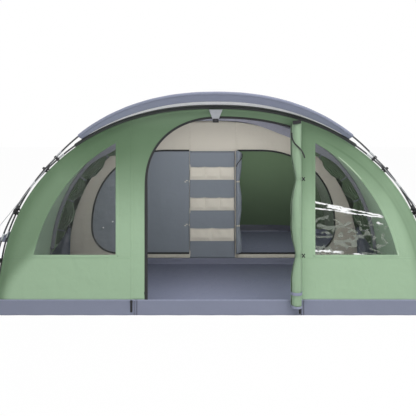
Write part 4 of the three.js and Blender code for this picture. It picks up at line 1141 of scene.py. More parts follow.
class TENT_OT_front(bpy.types.Operator):
    """Front panels, door surround, sill and skirts, with their seams and tapes"""

    bl_idname = "tent.front"
    bl_label = "Front"

    def execute(self, context):
        for side, sign in SIDES.items():
            self.panel(side, sign)
        self.surround()
        self.foot()
        self.peak()
        return {"FINISHED"}

    def panel(self, side, sign):
        """A surface ruled from the window's edge to the panel's edge, with a tape round the window."""
        seam, counts = SEAMS[side], (64, 120, 74)
        runs = (
            line((seam, SKIRT_TOP), (half_width(SKIRT_TOP), SKIRT_TOP)),
            arch_line(share_at(SKIRT_TOP), share_of(seam), 0),
            line((seam, arch_height(seam)), (seam, SKIRT_TOP)),
        )
        inner, outer = chain(*zip(window_runs(), counts)), chain(*zip(runs, counts))
        grid = lay_on_front(mirrored(between(inner, outer, 44), sign))
        cloth_piece(
            f"panel_{side}_cloth", front_cloth(), {"points": grid, "poles": True},
            nodes=[f"front_panel_{side}"], on=[f"wall_{side}_cloth"], cut=(FLY[0] - seam, arch_height(seam)),
        )
        low = line((seam, FRONT_SEAM), (half_width(FRONT_SEAM) - 0.004, FRONT_SEAM))
        rim = arch_line(share_at(0.02), share_of(seam), 0, FLY, -0.012)
        bands = ((inner, 0.024), (resample(runs[2], 120), 0.018))
        bands += ((resample(low, 90), 0.011), (resample(rim, 240), 0.014))
        tapes = [ribbon(lay_on_front(mirrored(path, sign), TAPE_LIFT), width) for path, width in bands]
        piece(f"panel_{side}_tapes", front_cloth(), *tapes)

    def surround(self):
        """A surface ruled from the doorway's edge out to the seams and the arch."""
        left, right, counts = SEAMS["left"], SEAMS["right"], (60, 26, 40, 40, 60)
        turn = (-left, 1.35)
        runs = (
            line((-left, SKIRT_TOP), turn),
            line(turn, (-left, arch_height(left))),
            arch_line(share_of(-left), share_of(0.02), 0),
            arch_line(share_of(0.02), share_of(right), 0),
            line((right, arch_height(right)), (right, SKIRT_TOP)),
        )
        inner = chain(*zip(door_edge(), counts))
        grid = lay_on_front(between(inner, chain(*zip(runs, counts)), 26))
        cloth_piece(
            "surround_cloth", front_cloth(), flat(grid), nodes=["door_surround"],
            on=["panel_left_cloth", "panel_right_cloth"], cut=(0.3, 4.8),
        )
        edge = lay_on_front(resample(chain(*zip(door_edge()[:4], (60, 60, 60, 60))), 320), 0.003)
        width = 0.030 - 0.008 * smooth(0.3, 0.45, np.linspace(0, 1, 320))
        piece("door_zip", black_zip(), ribbon(edge, width, 0.003))
        run = resample(arch_line(share_of(-left), share_of(right), 0, FLY, -0.012), 200)
        piece("surround_tape", front_cloth(), ribbon(lay_on_front(run, TAPE_LIFT), 0.014))

    def foot(self):
        """Skirts and sill: they flare forward by the square of the way down."""
        v = np.linspace(0, 1, 12)[:, None]
        for name in ("skirt_left", "door_sill", "skirt_right"):
            (low, _, _), (high, _, top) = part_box(name)
            u = np.linspace(low, high, 120)[None]
            x = u + np.sign(u) * np.where(np.abs(u) > 2, 0.004 * (1 - v), 0)
            y = FRONT - 0.001 - 0.006 * (1 - v) ** 2 + 0.0016 * np.sin(u * 23) * (1 - v)
            cloth = cloth_of("grey", 0.92, name="sill and skirts", creases=0.8)
            grid = points(x, y, mix(0.0012, top, v))
            cloth_piece(f"{name}_cloth", cloth, flat(grid), held="hung", nodes=[name], on=["surround_cloth"])
            tape = 0.0016
            hem = ribbon(resample(grid[-1] + np.array([0, -tape, -0.006]), 60), 0.014, tape)
            piece(f"{name}_edge", tape_of("grey", 1.25), hem)
            ends = [resample(grid[:, k] + np.array([0, -tape, 0]), 16) for k in (1, -2)]
            piece(f"{name}_seams", tape_of("grey", 0.45), *[ribbon(end, 0.008, tape) for end in ends])
        straps = [(-0.800, 0.03, 0.143, FRONT - 0.0085), (0.792, 0.033, 0.098, FRONT - 0.055)]
        lines = [resample(line((x, low), (x, high), y=y), 24) for x, low, high, y in straps]
        piece("foot_straps", black_webbing(), *[ribbon(path, 0.02, 0.0024) for path in lines])
        rings = [bead((x, y - 0.002, high - 0.012), (0.024, 0.006, 0.018)) for x, low, high, y in straps]
        piece("foot_buckles", black_plastic(), *rings)

    def peak(self):
        """The patch under the peak and its buckle: three bars between two upright ones."""
        low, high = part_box("peak_buckle")
        middle, v = (low[0] + high[0]) / 2 + 0.018, np.linspace(0, 1, 10)[:, None]
        half = mix(0.0295, (high[0] - low[0]) / 2, v)
        u = np.linspace(-1, 1, 16)[None]
        patch = points(middle + half * u, FRONT - 0.0078 + 0.0008 * u**2, mix(1.866, high[2], v))
        pale = finish_of(stitched, "pale grey webbing", srgb(186, 189, 194))
        cloth_piece("peak_patch", pale, flat(patch), nodes=["peak_buckle"], on=["surround_cloth"])
        clip, y = 1.850, FRONT - 0.0095
        bars = [bead((middle, y, z), (0.056, 0.009, 0.012)) for z in (clip + 0.013, clip, clip - 0.012)]
        bars += [bead((middle + x, y, clip), (0.014, 0.009, 0.036)) for x in (-0.022, 0.022)]
        piece("peak_clip", black_plastic(), *bars)


# Painted reflections along creases in the right window's film: height, slope, width, raggedness, and where
# each starts and ends across.
CREASE_REFLECTIONS = (
    (1.076, -0.205, 0.006, 0.030, 0.92, 1.64), (1.016, -0.135, 0.005, 0.030, 0.92, 1.64),
    (1.046, -0.180, 0.017, 0.060, 1.05, 1.32), (0.612, -0.050, 0.009, 0.030, 0.90, 1.24),
    (0.600, -0.050, 0.006, 0.020, 1.30, 1.46), (0.975, -0.170, 0.009, 0.020, 1.52, 1.62),
)


class TENT_OT_windows(bpy.types.Operator):
    """Clear film in the front's two windows"""

    bl_idname = "tent.windows"
    bl_label = "Windows"

    def execute(self, context):
        """Level from the inner edge outwards, from the foot up to the arch, with two crossing waves."""
        foot = half_width(WINDOW_BOTTOM, PANE) - 0.001
        for side, sign in SIDES.items():
            u, v = np.meshgrid(np.sin(np.linspace(0, 1, 70) * np.pi / 2), np.linspace(0, 1, 50))
            x = mix(WINDOW_INNER - 0.006, foot, u)
            z = mix(WINDOW_BOTTOM - 0.006, np.maximum(arch_height(x, PANE) + 0.004, WINDOW_BOTTOM), v)
            wave = 0.0016 * np.sin(9 * x + 3 * z) * np.sin(7 * z - 2 * x)
            grid = points(sign * x, FRONT + 0.0022 + wave, z)
            finish = finish_of(film, f"{side} window film", CREASE_REFLECTIONS if side == "right" else ())
            cloth_piece(
                f"window_{side}_film", finish, flat(grid), nodes=[f"window_{side}"], slot="clear_film",
                on=[f"panel_{side}_cloth"], thick=0.0006,
            )
            if side == "right":
                # A pale line along the right window's curved edge only: a painted highlight where the light
                # falls on that edge.
                curve = arch_line(share_of(WINDOW_INNER, PANE), share_of(foot, PANE), 0, PANE)
                rim = resample(curve, 160) + np.array([0, FRONT - 0.0022, 0])
                pale = finish_of(stitched, "window piping", srgb(196, 212, 190))
                piece("window_right_piping", pale, ribbon(rim, 0.006, 0.002))
        return {"FINISHED"}


# ---------------------------------------------------------------- rolled doors


def rolled(low, high, ties, edge, y, half, waist, depth, way=1, turns=4.5):
    """Cloth rolled up: a spiral carried upwards, drawn in at its ties, with soft lengthwise folds."""
    z = np.linspace(low, high, 190)[:, None]
    pinch = np.max([1 - smooth(-0.03, 0.30, np.abs(z - tie)) for tie in ties], axis=0)
    end = 0.5 + 0.5 * smooth(0, 0.03, np.minimum(z - low, high - z))
    wide = (half - (half - waist) * pinch**1.5) * end
    deep = (depth - (depth - waist) * pinch**1.5) * end
    t = np.linspace(0, 2 * np.pi * turns, 150)[None]
    out = mix(0.2, 1.0, t / t.max())
    fold = 1 + 0.05 * np.sin(3 * t + 7 * z) * (1 - pinch) + 0.03 * np.sin(8 * t - 15 * z + 2)
    fold = np.minimum(fold, 1.03)
    x = edge - way * wide + wide * out * np.cos(t) * fold
    return points(x, y + deep * out * np.sin(t) * fold, z)


def tie_round(edge, y, half, height, width, way=1, lift=0.002):
    """A webbing loop round a roll at a tie."""
    turn = np.linspace(0, 2 * np.pi, 49)
    x, depth = edge - way * half + (half + lift) * np.cos(turn), (half + lift) * np.sin(turn)
    return sweep(points(x, y + depth, height), (0, 0, 1), width / 2, 0.0012, 10, 0.35)


class TENT_OT_rolled_door(bpy.types.Operator):
    """The front door rolled up against the right jamb, with its ties, toggles and zip"""

    bl_idname = "tent.rolled_door"
    bl_label = "Rolled front door"

    def execute(self, context):
        """The roll, then what is tied to it: loops, crossed cords, a curl of the zip and the toggles."""
        (x0, y0, z0), (x1, y1, z1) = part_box("front_door_rolled")
        ties, edge, y = (0.592, 1.305), x1, (y0 + y1) / 2
        half = (x1 - x0) / 2
        waist = half - context.scene.tent_sizes.pinch
        grid = rolled(z0 + 0.002, z1 - 0.004, ties, edge, y, half, waist, half)
        green = cloth_of("green", 0.84, name="rolled green", creases=2.0)
        cloth_piece(
            "front_door_roll", green, flat(grid), nodes=["front_door_rolled"],
            held="gathered", on=["surround_cloth"],
        )
        bands = [tie_round(edge, y, half, 0.232, 0.028), tie_round(edge, y, half * 0.93, 0.105, 0.022)]
        piece("front_door_hems", tape_of("grey", 1.1), *bands)
        loops = [tie_round(edge, y, waist, height, 0.014) for height in ties]
        piece("front_door_ties", tape_of("green", 0.78), *loops)
        top = resample(line((0.716, 1.828), (0.793, 1.838), y=y0 - 0.003), 30)
        piece("front_door_top_tie", black_webbing(), ribbon(top, 0.034, 0.003))
        places = ((0.706, 1.735), (0.70, 1.60), (0.795, 1.63), (0.826, 1.50))
        curl = bezier([(x, y0 - 0.002, z) for x, z in places], 80)
        piece("front_door_zip_end", black_zip(), ribbon(curl, 0.014, 0.004))
        rise = 0.017
        cords = [
            resample(line((0.803, height - rise * way), (0.829, height + rise * way), y=y0 + 0.004), 14)
            for height in ties for way in (-1, 1)
        ]
        piece("front_door_toggle_cords", black_webbing(), *[tube(path, 0.0048, 8) for path in cords])
        for name in ("lower", "upper"):
            node = f"door_toggle_{name}"
            low, high = (np.array(end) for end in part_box(node))
            shape = bead((low + high) / 2, high - low, 0.6)
            piece(f"{node}_bar", black_plastic(), shape, body=f"{node}_body", nodes=[node])
        return {"FINISHED"}


# ---------------------------------------------------------------- vents in the walls


class TENT_OT_hoods(bpy.types.Operator):
    """The awnings over the side vents, their hems and the netting under them"""

    bl_idname = "tent.hoods"
    bl_label = "Vent hoods"

    def execute(self, context):
        """Each slopes out, arched by sin(pi v) (1 - u^2) and drooping by |u|^3 v, with ruled cheeks."""
        slope, reach = np.radians(27), 0.262
        u, v = np.meshgrid(np.linspace(-1, 1, 70), np.linspace(0, 1, 40))
        for side, sign in SIDES.items():
            low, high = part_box(f"vent_hood_{side}")
            near = min(abs(low[0]), abs(high[0]))
            start = np.array([near + 0.002, (low[1] + high[1]) / 2, high[2] - 0.003])
            out = reach * v * (1 - 0.10 * np.abs(u) ** 6)
            rise = 0.012 * np.sin(v * np.pi) * (1 - u**2) - 0.012 * np.abs(u) ** 3 * v
            x, z = start[0] + out * np.cos(slope), start[2] - out * np.sin(slope) + rise * np.cos(slope)
            y = start[1] + (high[1] - low[1]) / 2 * u * (1 - 0.05 * v**3)
            grid, body = points(sign * x, y, z), f"vent_hood_{side}_body"
            cloth_piece(
                f"hood_{side}_cloth", cloth_of("grey"), flat(grid), body=body, thick=0.002,
                nodes=[f"vent_hood_{side}"], on=[f"wall_{side}_cloth"],
            )
            hem = chain((grid[:, 0], 40), (grid[-1], 70), (grid[::-1, -1], 40))
            edging = tube(hem, 0.0042, 10, across=(0, 0, 1))
            piece(f"hood_{side}_hem", tape_of("grey", 0.55), edging, body=body)
            for end, edge in (("front", grid[:, 0]), ("rear", grid[:, -1])):
                foot_x, foot_z = arch(share_at(edge[0, 2] - 0.13), 0.004)
                foot = np.array([sign * float(foot_x), edge[0, 1], float(foot_z)])
                lower = mix(foot, edge[-1], np.linspace(0, 0.97, len(edge))[:, None])
                gap = np.linspace(0, 1, 14)[:, None, None]
                cheek = cloth_piece(
                    f"hood_{side}_{end}_cheek", cloth_of("grey"), flat(edge * (1 - gap) + lower * gap),
                    body=None, on=[f"hood_{side}_cloth"],
                )
                tuple((edge[0] + edge[-1]) / 2)
                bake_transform(cheek)
            share = np.linspace(share_at(0.74), share_at(0.53), 24)[:, None]
            px, pz = arch(share, 0.0016)
            patch = points(sign * px, np.linspace(start[1] - 0.2, start[1] + 0.2, 30)[None], pz)
            piece(f"hood_{side}_netting", mesh_panel(), flat(patch))
            rim = chain((patch[0], 40), (patch[:, -1], 30), (patch[-1, ::-1], 40), (patch[::-1, 0], 30))
            binding = tube(rim, 0.003, 8, across=(sign, 0, 0.6))
            piece(f"hood_{side}_binding", tape_of("green", 0.75), binding)
        return {"FINISHED"}


# ---------------------------------------------------------------- inner tent


BED_IN, BED_OUT, BED_FOOT, BED_TOP, BED_WIDEST = 0.32, 1.61, 0.146, 1.508, 0.50
BED_TOP_X, BED_FOOT_X, BED_POWER = 0.60, 1.25, 2.2
BED_TIES = (0.52, 1.10)
WALL_SEAM, WALL_FOOT, WALL_STRIP = 0.31, 0.083, 0.115


def bedroom_edge():
    """The right bedroom's doorway: a D whose top and foot corners are quarters of superellipses."""
    across, up = corner(BED_OUT - BED_TOP_X, BED_TOP - BED_WIDEST, BED_POWER, 60)
    out, down = corner(BED_OUT - BED_FOOT_X, BED_WIDEST - BED_FOOT, BED_POWER, 40)
    return (
        line((BED_IN, BED_FOOT), (BED_IN, BED_TOP)),
        line((BED_IN, BED_TOP), (BED_TOP_X, BED_TOP)),
        points(BED_TOP_X + across, 0, BED_WIDEST + up),
        points(BED_FOOT_X + out, 0, BED_WIDEST - down)[::-1],
        line((BED_FOOT_X, BED_FOOT), (BED_IN, BED_FOOT)),
    )


class TENT_OT_bedrooms(bpy.types.Operator):
    """The bedroom wall with its closed and its rolled door, the canopy, the back wall and the divider"""

    bl_idname = "tent.bedrooms"
    bl_label = "Bedrooms"

    def execute(self, context):
        self.wall()
        self.closed_door()
        self.rolled_door()
        self.canopy()
        return {"FINISHED"}

    def wall(self):
        """Each half is ruled from its doorway out to the arch, and a strip stands between the halves."""
        counts, y = (80, 20, 60, 40, 50), WALL - 0.0008
        runs = (
            line((WALL_SEAM, WALL_FOOT), (WALL_SEAM, arch_height(WALL_SEAM, INNER))),
            arch_line(share_of(WALL_SEAM, INNER), share_of(0.65, INNER), 0, INNER),
            arch_line(share_of(0.65, INNER), share_at(0.45, INNER), 0, INNER),
            arch_line(share_at(0.45, INNER), share_at(WALL_FOOT, INNER), 0, INNER),
            line((half_width(WALL_FOOT, INNER), WALL_FOOT), (WALL_SEAM, WALL_FOOT)),
        )
        inner, outer = chain(*zip(bedroom_edge(), counts)), chain(*zip(runs, counts))
        ring = between(inner, outer, 30)
        x, v = np.meshgrid(np.linspace(-WALL_SEAM, WALL_SEAM, 40), np.linspace(0, 1, 60))
        middle = points(x, y, mix(WALL_FOOT, arch_height(x, INNER), v))

        def waved(grid):
            x, z = grid[..., 0], grid[..., 2]
            return points(x, y + 0.0008 * np.sin(6 * x + 4 * z), z)

        # Painted shade: the wall darkens low down and near its top.
        def shade(s):
            return s.z.ramp(0.9, 0.1) * 0.12 + s.z.ramp(1.6, 1.9) * 0.15

        grids = [{"points": waved(mirrored(ring, sign)), "poles": True} for sign in (-1, 1)]
        cloth = cloth_of("beige", shade=shade, creases=1.2)
        grids.append(flat(waved(middle)))
        cut = (2 * INNER[0], INNER[1] - WALL_FOOT)
        cloth_piece("inner_wall_cloth", cloth, *grids, nodes=["inner_front_wall"], on=[], cut=cut)
        edges, strips = [], []
        for sign in (-1, 1):
            loop = mirrored(resample(chain(*zip(bedroom_edge()[1:], counts[1:])), 360), sign)
            edges.append(ribbon(loop + np.array([0, y - 0.006, 0]), 0.024, 0.003))
            end = half_width(WALL_STRIP, INNER) - 0.01
            low = line((WALL_SEAM, WALL_STRIP), (end, WALL_STRIP), y=y - 0.0052)
            strips.append(ribbon(mirrored(resample(low, 60), sign), 0.058, 0.0018))
            seam = line((WALL_SEAM, WALL_FOOT), (WALL_SEAM, arch_height(WALL_SEAM, INNER)), y=y - 0.0042)
            strips.append(ribbon(mirrored(resample(seam, 90), sign), 0.012, 0.0014))
        piece("bedroom_zips", black_zip(), *edges)
        piece("inner_wall_strips", tape_of("beige", 1.0), *strips)

    def closed_door(self):
        """The left door fills its doorway, with slack folds that fan out from its upper corner."""
        low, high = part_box("bedroom_door_left")
        u, v = np.meshgrid(np.linspace(0, 1, 110) ** 0.9, np.linspace(0, 1, 90))
        x = mix(BED_IN, BED_OUT - 0.003, u)
        up = np.clip((x - BED_TOP_X) / (BED_OUT - BED_TOP_X), 0, 1)
        top = BED_WIDEST + (BED_TOP - BED_WIDEST) * (1 - up**BED_POWER) ** (1 / BED_POWER)
        down = np.clip((x - BED_FOOT_X) / (BED_OUT - BED_FOOT_X), 0, 1)
        foot = BED_WIDEST - (BED_WIDEST - BED_FOOT) * (1 - down**BED_POWER) ** (1 / BED_POWER)
        z = mix(foot + 0.003, np.maximum(top - 0.003, foot + 0.004), v)
        turn = np.arctan2(z - 1.5, x - 0.3)
        fold = 0.0035 * np.sin(26 * turn) * np.hypot(x - 0.3, z - 1.5) * np.sin(np.pi * v) * np.sin(np.pi * u)
        y = (low[1] + high[1]) / 2 + fold
        # Painted shade: the door darkens towards its foot.
        slate = cloth_of("slate", name="bedroom door slate", shade=height_shade(1.0, 0.2, 0.06), creases=1.6)
        cloth_piece(
            "bedroom_door_cloth", slate, flat(points(-x, y, z)), nodes=["bedroom_door_left"],
            body="bedroom_door_left_body", held="hung", on=["inner_wall_cloth"],
        )
        places = ((-1.46, WALL - 0.009, 0.485), (-1.334, WALL - 0.009, 0.565))
        pulls = [bead(place, (0.016, 0.009, 0.016), 0.8) for place in places]
        piece("bedroom_door_beads", finish_of(moulded, "white plastic", srgb(250, 250, 250)), *pulls)

    def rolled_door(self):
        """The right door rolled up beside its straight edge, with ties, toggles and the end of its zip."""
        (x0, y0, z0), (x1, y1, z1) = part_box("bedroom_door_right_rolled")
        edge, half, y = x0 + 0.003, (x1 - x0) / 2 - 0.003, (y0 + y1) / 2
        waist = half - 0.014
        grid = rolled(z0 + 0.002, z1 - 0.002, BED_TIES, edge, y, half, waist, half, way=-1, turns=4)
        cloth_piece(
            "bedroom_door_roll", cloth_of("slate", name="rolled slate", creases=2.0), flat(grid),
            nodes=["bedroom_door_right_rolled"], held="gathered", on=["inner_wall_cloth"],
        )
        loops = [tie_round(edge, y, waist, height, 0.012, -1) for height in BED_TIES]
        piece("bedroom_door_ties", tape_of("beige", 0.9), *loops)
        knobs = [
            bead((x0 + 0.03 + step, y0 + 0.010, height + 0.004), (0.012, 0.010, 0.024), 0.7)
            for height in BED_TIES for step in (0, 0.02)
        ]
        knobs += [
            bead((-0.372 + step, WALL - 0.012, height - 0.008 + step), (0.026, 0.008, 0.011), 0.7)
            for height in BED_TIES for step in (0, 0.018)
        ]
        piece("bedroom_toggles", pale_plastic(), *knobs)
        t = np.linspace(0, 1, 60)
        curl = points(0.375 - 0.075 * smooth(0.2, 1, t), y0 - 0.004, 1.47 - 0.17 * t)
        piece("bedroom_zip_end", black_zip(), ribbon(curl, 0.012, 0.003))

    def canopy(self):
        """The canopy along the inner arch, the back wall ruled down from its end, and the hanging divider."""
        # Painted shade: the canopy and the back wall darken towards the floor.
        cloth = cloth_of("canopy", name="canopy green", shade=height_shade(1.5, 0.1, 0.55), creases=1.4)
        share = even_shares(-0.996, 0.996, 180, INNER)[None]
        y = np.linspace(WALL + 0.004, CANOPY_BACK, 60)[:, None]
        slack = 0.016 * np.sin(np.pi * (y - WALL) / (CANOPY_BACK - WALL)) * (1 - share**4)
        x, z = arch(share, -0.0015 - slack + 0.003 * np.sin(17 * share + 9 * y) * np.sin(3 * y), INNER)
        grid = points(x, y, np.maximum(z, 0.003))
        cloth_piece(
            "canopy_cloth", cloth, flat(grid), nodes=["bedroom_canopy"], held="hung", on=["inner_wall_cloth"]
        )
        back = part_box("bedroom_back_wall")[1][1]
        line_share = even_shares(-0.992, 0.992, 160, INNER)
        x, z = arch(line_share, -0.0015, INNER)
        turn = np.abs(line_share) * np.pi / 2
        foot_x = np.sign(line_share) * (INNER[0] - 0.004) * np.sin(turn) ** 0.5
        foot = points(foot_x, CANOPY_BACK + (back - CANOPY_BACK - 0.002) * np.cos(turn) ** 0.5, 0.003)
        wall = between(points(x, CANOPY_BACK + 0.002, z), foot, 44)
        v = np.linspace(0, 1, 44)[:, None]
        wall[..., 1] -= 0.012 * np.sin(np.pi * v) * np.cos(turn)[None] ** 0.5
        nodes = ["bedroom_back_wall"]
        cloth_piece("back_wall_cloth", cloth, flat(wall), nodes=nodes, held="hung", on=["canopy_cloth"])
        (_, near, low), (_, far, high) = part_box("bedroom_divider")
        y, v = np.meshgrid(np.linspace(near + 0.002, far - 0.002, 70), np.linspace(0, 1, 50))
        sway = 0.008 * np.sin(7 * y) * np.sin(np.pi * v)
        slope = np.clip((far + 0.004 - y) / (far + 0.004 - CANOPY_BACK), 0.004, 1)
        grid = points(sway, y, mix(low + 0.002, (high - 0.012) * slope, v))
        cloth = cloth_of("slate", name="divider slate", creases=1.2)
        nodes = ["bedroom_divider"]
        cloth_piece("divider_cloth", cloth, flat(grid), nodes=nodes, held="hung", on=["canopy_cloth"])


class TENT_OT_organiser(bpy.types.Operator):
    """The organiser with its three rows of pockets between the bedroom doors"""

    bl_idname = "tent.organiser"
    bl_label = "Organiser"

    def execute(self, context):
        """A flat sheet with faint waves, its pockets, and a hem and toggles at its edges."""
        low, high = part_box("organiser")
        y = WALL - 0.0045
        u, v = np.meshgrid(np.linspace(low[0], high[0], 40), np.linspace(low[2], high[2], 90))
        grid = points(u, y - 0.0015 - 0.001 * np.sin(11 * v) * np.sin(5 * u), v)
        # Painted shade: the organiser darkens towards its foot.
        slate = cloth_of("slate", name="organiser slate", shade=height_shade(0.9, 0.1, 0.06))
        cloth_piece(
            "organiser_cloth", slate, flat(grid), nodes=["organiser"], held="hung", on=["inner_wall_cloth"]
        )
        hems = [self.pocket(row, name, low, high, y) for row, name in enumerate(("upper", "middle", "lower"))]
        piece("pocket_hems", tape_of("beige", 1.0), *hems)
        sides = (low[0] - 0.004, high[0] + 0.006)
        pegs = [
            bead((x, y - 0.008, height), (0.012, 0.010, 0.026), 0.7)
            for height in reversed(BED_TIES) for x in sides
        ]
        piece("organiser_toggles", pale_plastic(), *pegs)
        top = high[2] - 0.014
        bar = resample(line((low[0] + 0.02, top), (high[0] - 0.02, top), y=y - 0.0034), 40)
        piece("organiser_hem", tape_of("slate", 0.8), ribbon(bar, 0.022, 0.002))
        return {"FINISHED"}

    def pocket(self, row, name, low, high, y):
        """A row of pockets that belly out by a sine across: two in the lowest row. Gives the row's hem."""
        top = 1.294 - 0.406 * row
        u, v = np.meshgrid(np.linspace(0, 1, 90), np.linspace(0, 1, 26))
        belly = np.abs(np.sin(u * np.pi * (3 if row < 2 else 2))) ** 0.55
        out = 0.004 + 0.0185 * belly * smooth(0, 0.35, v) + 0.0025 * np.sin(25 * u + 4 * v) * v
        z = mix(top - 0.175, top, v) - 0.006 * belly * v
        place = points(mix(low[0] + 0.006, high[0] - 0.006, u), y - out, z)
        # The pockets are the beige cloth a quarter lighter: painted light where the light inside falls off.
        cloth = cloth_of("beige", 1.25, name="pocket beige", creases=1.8)
        cloth_piece(f"pocket_{name}", cloth, flat(place), held="hung", on=["organiser_cloth"])
        return ribbon(resample(place[-1] + np.array([0, -0.0012, -0.006]), 120), 0.013, 0.0018)


class TENT_OT_curtains(bpy.types.Operator):
    """The tied-back divider curtains and the tape along the middle arch that they hang from"""

    bl_idname = "tent.curtains"
    bl_label = "Divider curtains"

    def execute(self, context):
        """The tape and its facing follow the middle arch; the facing widens and narrows by 3t^2 - 2t^3."""
        tape = arch_strap(MIDDLE_ARCH, -0.99, 0.99, -0.0065, 0.04, 0.0022, count=260)
        share = even_shares(-0.93, 0.93, 260)
        near = np.abs(share)
        width = 0.044 + (0.014 + 0.045 * smooth(0.08, 0.26, near)) * (1 - smooth(0.40, 0.55, near))
        x, z = arch(share, -0.008 - width / 2)
        facing = ribbon(points(x, MIDDLE_ARCH - 0.030, z), width, 0.002)
        grey = finish_of(stitched, "arch tape", srgb(126, 126, 136))
        piece("arch_tape_webbing", grey, tape, facing, nodes=["arch_tape"])
        for side, sign in SIDES.items():
            self.curtain(side, sign)
        return {"FINISHED"}

    def curtain(self, side, sign):
        """Pleats as a sine across the bundle; its width drops to the tie's as 3t^2 - 2t^3."""
        low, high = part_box(f"divider_curtain_{side}")
        y, inset = (low[1] + high[1]) / 2 + 0.01, 0.036
        ties, top = (0.458, 0.609, 0.7235, 0.859), 7 / 24
        share = even_shares(top, 22 / 24, 240)[:, None]
        pinch = np.max([1 - smooth(0, 0.055, np.abs(share - tie)) for tie in ties], axis=0)
        start = smooth(top, top + 0.07, share)
        width = mix(0.05, mix(0.148, 0.088, pinch), start)
        u = np.linspace(0, 1, 110)[None]
        depth = 0.030 * mix(1.0, 0.45, pinch) * (0.45 + 0.55 * start)
        pleat = depth * np.sin(2 * np.pi * 6 * u + 1.6 * np.sin(9 * share))
        pleat = pleat * (0.75 + 0.25 * np.sin(5 * u + 14 * share))
        x, z = arch(share, -inset - u * width + 0.004 * np.sin(30 * share + 6 * u))
        grid = points(sign * x, y + pleat, z)
        # The curtains are the canopy cloth a fifth lighter: painted light for curtains that hang in shade.
        cloth = cloth_of("canopy", 1.2, name="curtain green", creases=2.0)
        cloth_piece(
            f"curtain_{side}_cloth", cloth, flat(grid), nodes=[f"divider_curtain_{side}"],
            held="gathered", on=["arch_tape_webbing"],
        )
        loops, turn = [], np.linspace(0, 2 * np.pi, 40)
        for tie in ties:
            x, z = arch(tie, -inset - 0.044 + 0.049 * np.cos(turn))
            loop = points(sign * x, y + 0.019 * np.sin(turn), z)
            loops.append(sweep(loop, (sign * 0.7, 0, -0.7), 0.008, 0.0013, 10, 0.35))
        piece(f"curtain_{side}_ties", tape_of("slate", 0.8), *loops)


# ---------------------------------------------------------------- groundsheets and fittings


def ground_half(y, half):
    """The half width, narrowing behind the canopy as a superellipse of power 4."""
    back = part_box("bedroom_groundsheet")[1][1]
    return half * (1 - np.clip((y - CANOPY_BACK) / (back - CANOPY_BACK), 0, 0.9995) ** 4) ** 0.25


def ground_shade(s):
    """Painted shade: darker from the front back to the bedroom wall, and most of all on the bedroom sheet's
    rear rim.
    """
    rear = s.y.ramp(CANOPY_BACK + 0.25, CANOPY_BACK + 0.32) * s.z.ramp(0.006, 0.02)
    return rear.most(s.y.ramp(-0.8, 0.95) * 0.56)


class TENT_OT_groundsheets(bpy.types.Operator):
    """Living-area and bedroom groundsheets with turned-up rims"""

    bl_idname = "tent.groundsheets"
    bl_label = "Groundsheets"

    def execute(self, context):
        self.sheet("living_groundsheet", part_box("living_groundsheet")[1][2])
        self.sheet("bedroom_groundsheet", 0.08)
        self.corners()
        return {"FINISHED"}

    def corners(self):
        """The living-area sheet's rear corners: they narrow as they rise beside the wall, and are tied up."""
        navy = finish_of(tarpaulin, "navy groundsheet", srgb(58, 62, 78))
        foot, top, ties = 0.07, 0.55, np.linspace(0, 1, 8)
        v = np.linspace(0, 1, 40)[:, None]
        u = np.linspace(0, 1, 30)[None]
        for side, sign in SIDES.items():
            z = mix(foot, top, v)
            outer = mix(half_width(z) - 0.016, 1.835, np.clip((z - 0.17) / 0.36, 0, 1))
            inner = mix(1.78, 1.80, v**2)
            x = mix(outer, inner, u)
            y = mix(0.40, 0.555, v) + 0.018 * np.sin(7 * u + 3 * v) * (1 - v)
            cloth_piece(
                f"corner_{side}_sheet", navy, flat(points(sign * x, y, z)), held="hung",
                on=["living_groundsheet_sheet"],
            )
            tie = points(sign * (1.84 - 0.03 * ties), y[-1, 0] - 0.006, top + 0.04 * ties)
            piece(f"corner_{side}_tie", black_webbing(), tube(tie, 0.006, 8))

    def sheet(self, node, front_rim):
        """Flat on the ground, and turned up near its edges as 3t^2 - 2t^3 of how near they are."""
        (_, front, _), (half, back, rim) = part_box(node)
        near = 1 - (1 - np.linspace(0, 1, 90)) ** 2.2
        u = np.concatenate([-near[::-1], near[1:]])
        v = (1 + np.concatenate([-near[::-1], near[1:]])) / 2
        y = mix(front + 0.001, back - 0.001, v)[:, None]
        reach = ground_half(y, half) - 0.001
        x = reach * u[None]

        def turned_up(distance, height):
            return (1 - smooth(0.0005, 0.018, distance)) * (height - 0.002)

        ridge = 0.0015 * (1 + np.sin(3.1 * x + 1.7 * y) * np.sin(2.3 * y - 0.9 * x))
        z = np.maximum(0.0022 + ridge, turned_up(y - front, front_rim))
        z = np.maximum(z, turned_up(back - y, rim))
        z = np.maximum(z, turned_up(reach - np.abs(x), rim) * smooth(0, 0.06, y - front + 0.03))
        ground = finish_of(tarpaulin, "groundsheet", tint(tuple(colours().ground), 1.25), shade=ground_shade)
        grid = points(x, y, z)
        cloth_piece(f"{node}_sheet", ground, flat(grid), nodes=[node], held="laid", on=[], slot="groundsheet")
        hem = resample(grid[0, 12:-12] + np.array([0, -0.002, -0.004]), 160)
        piece(f"{node}_hem", tape_of("slate", 0.7), ribbon(hem, 0.014, 0.0018))


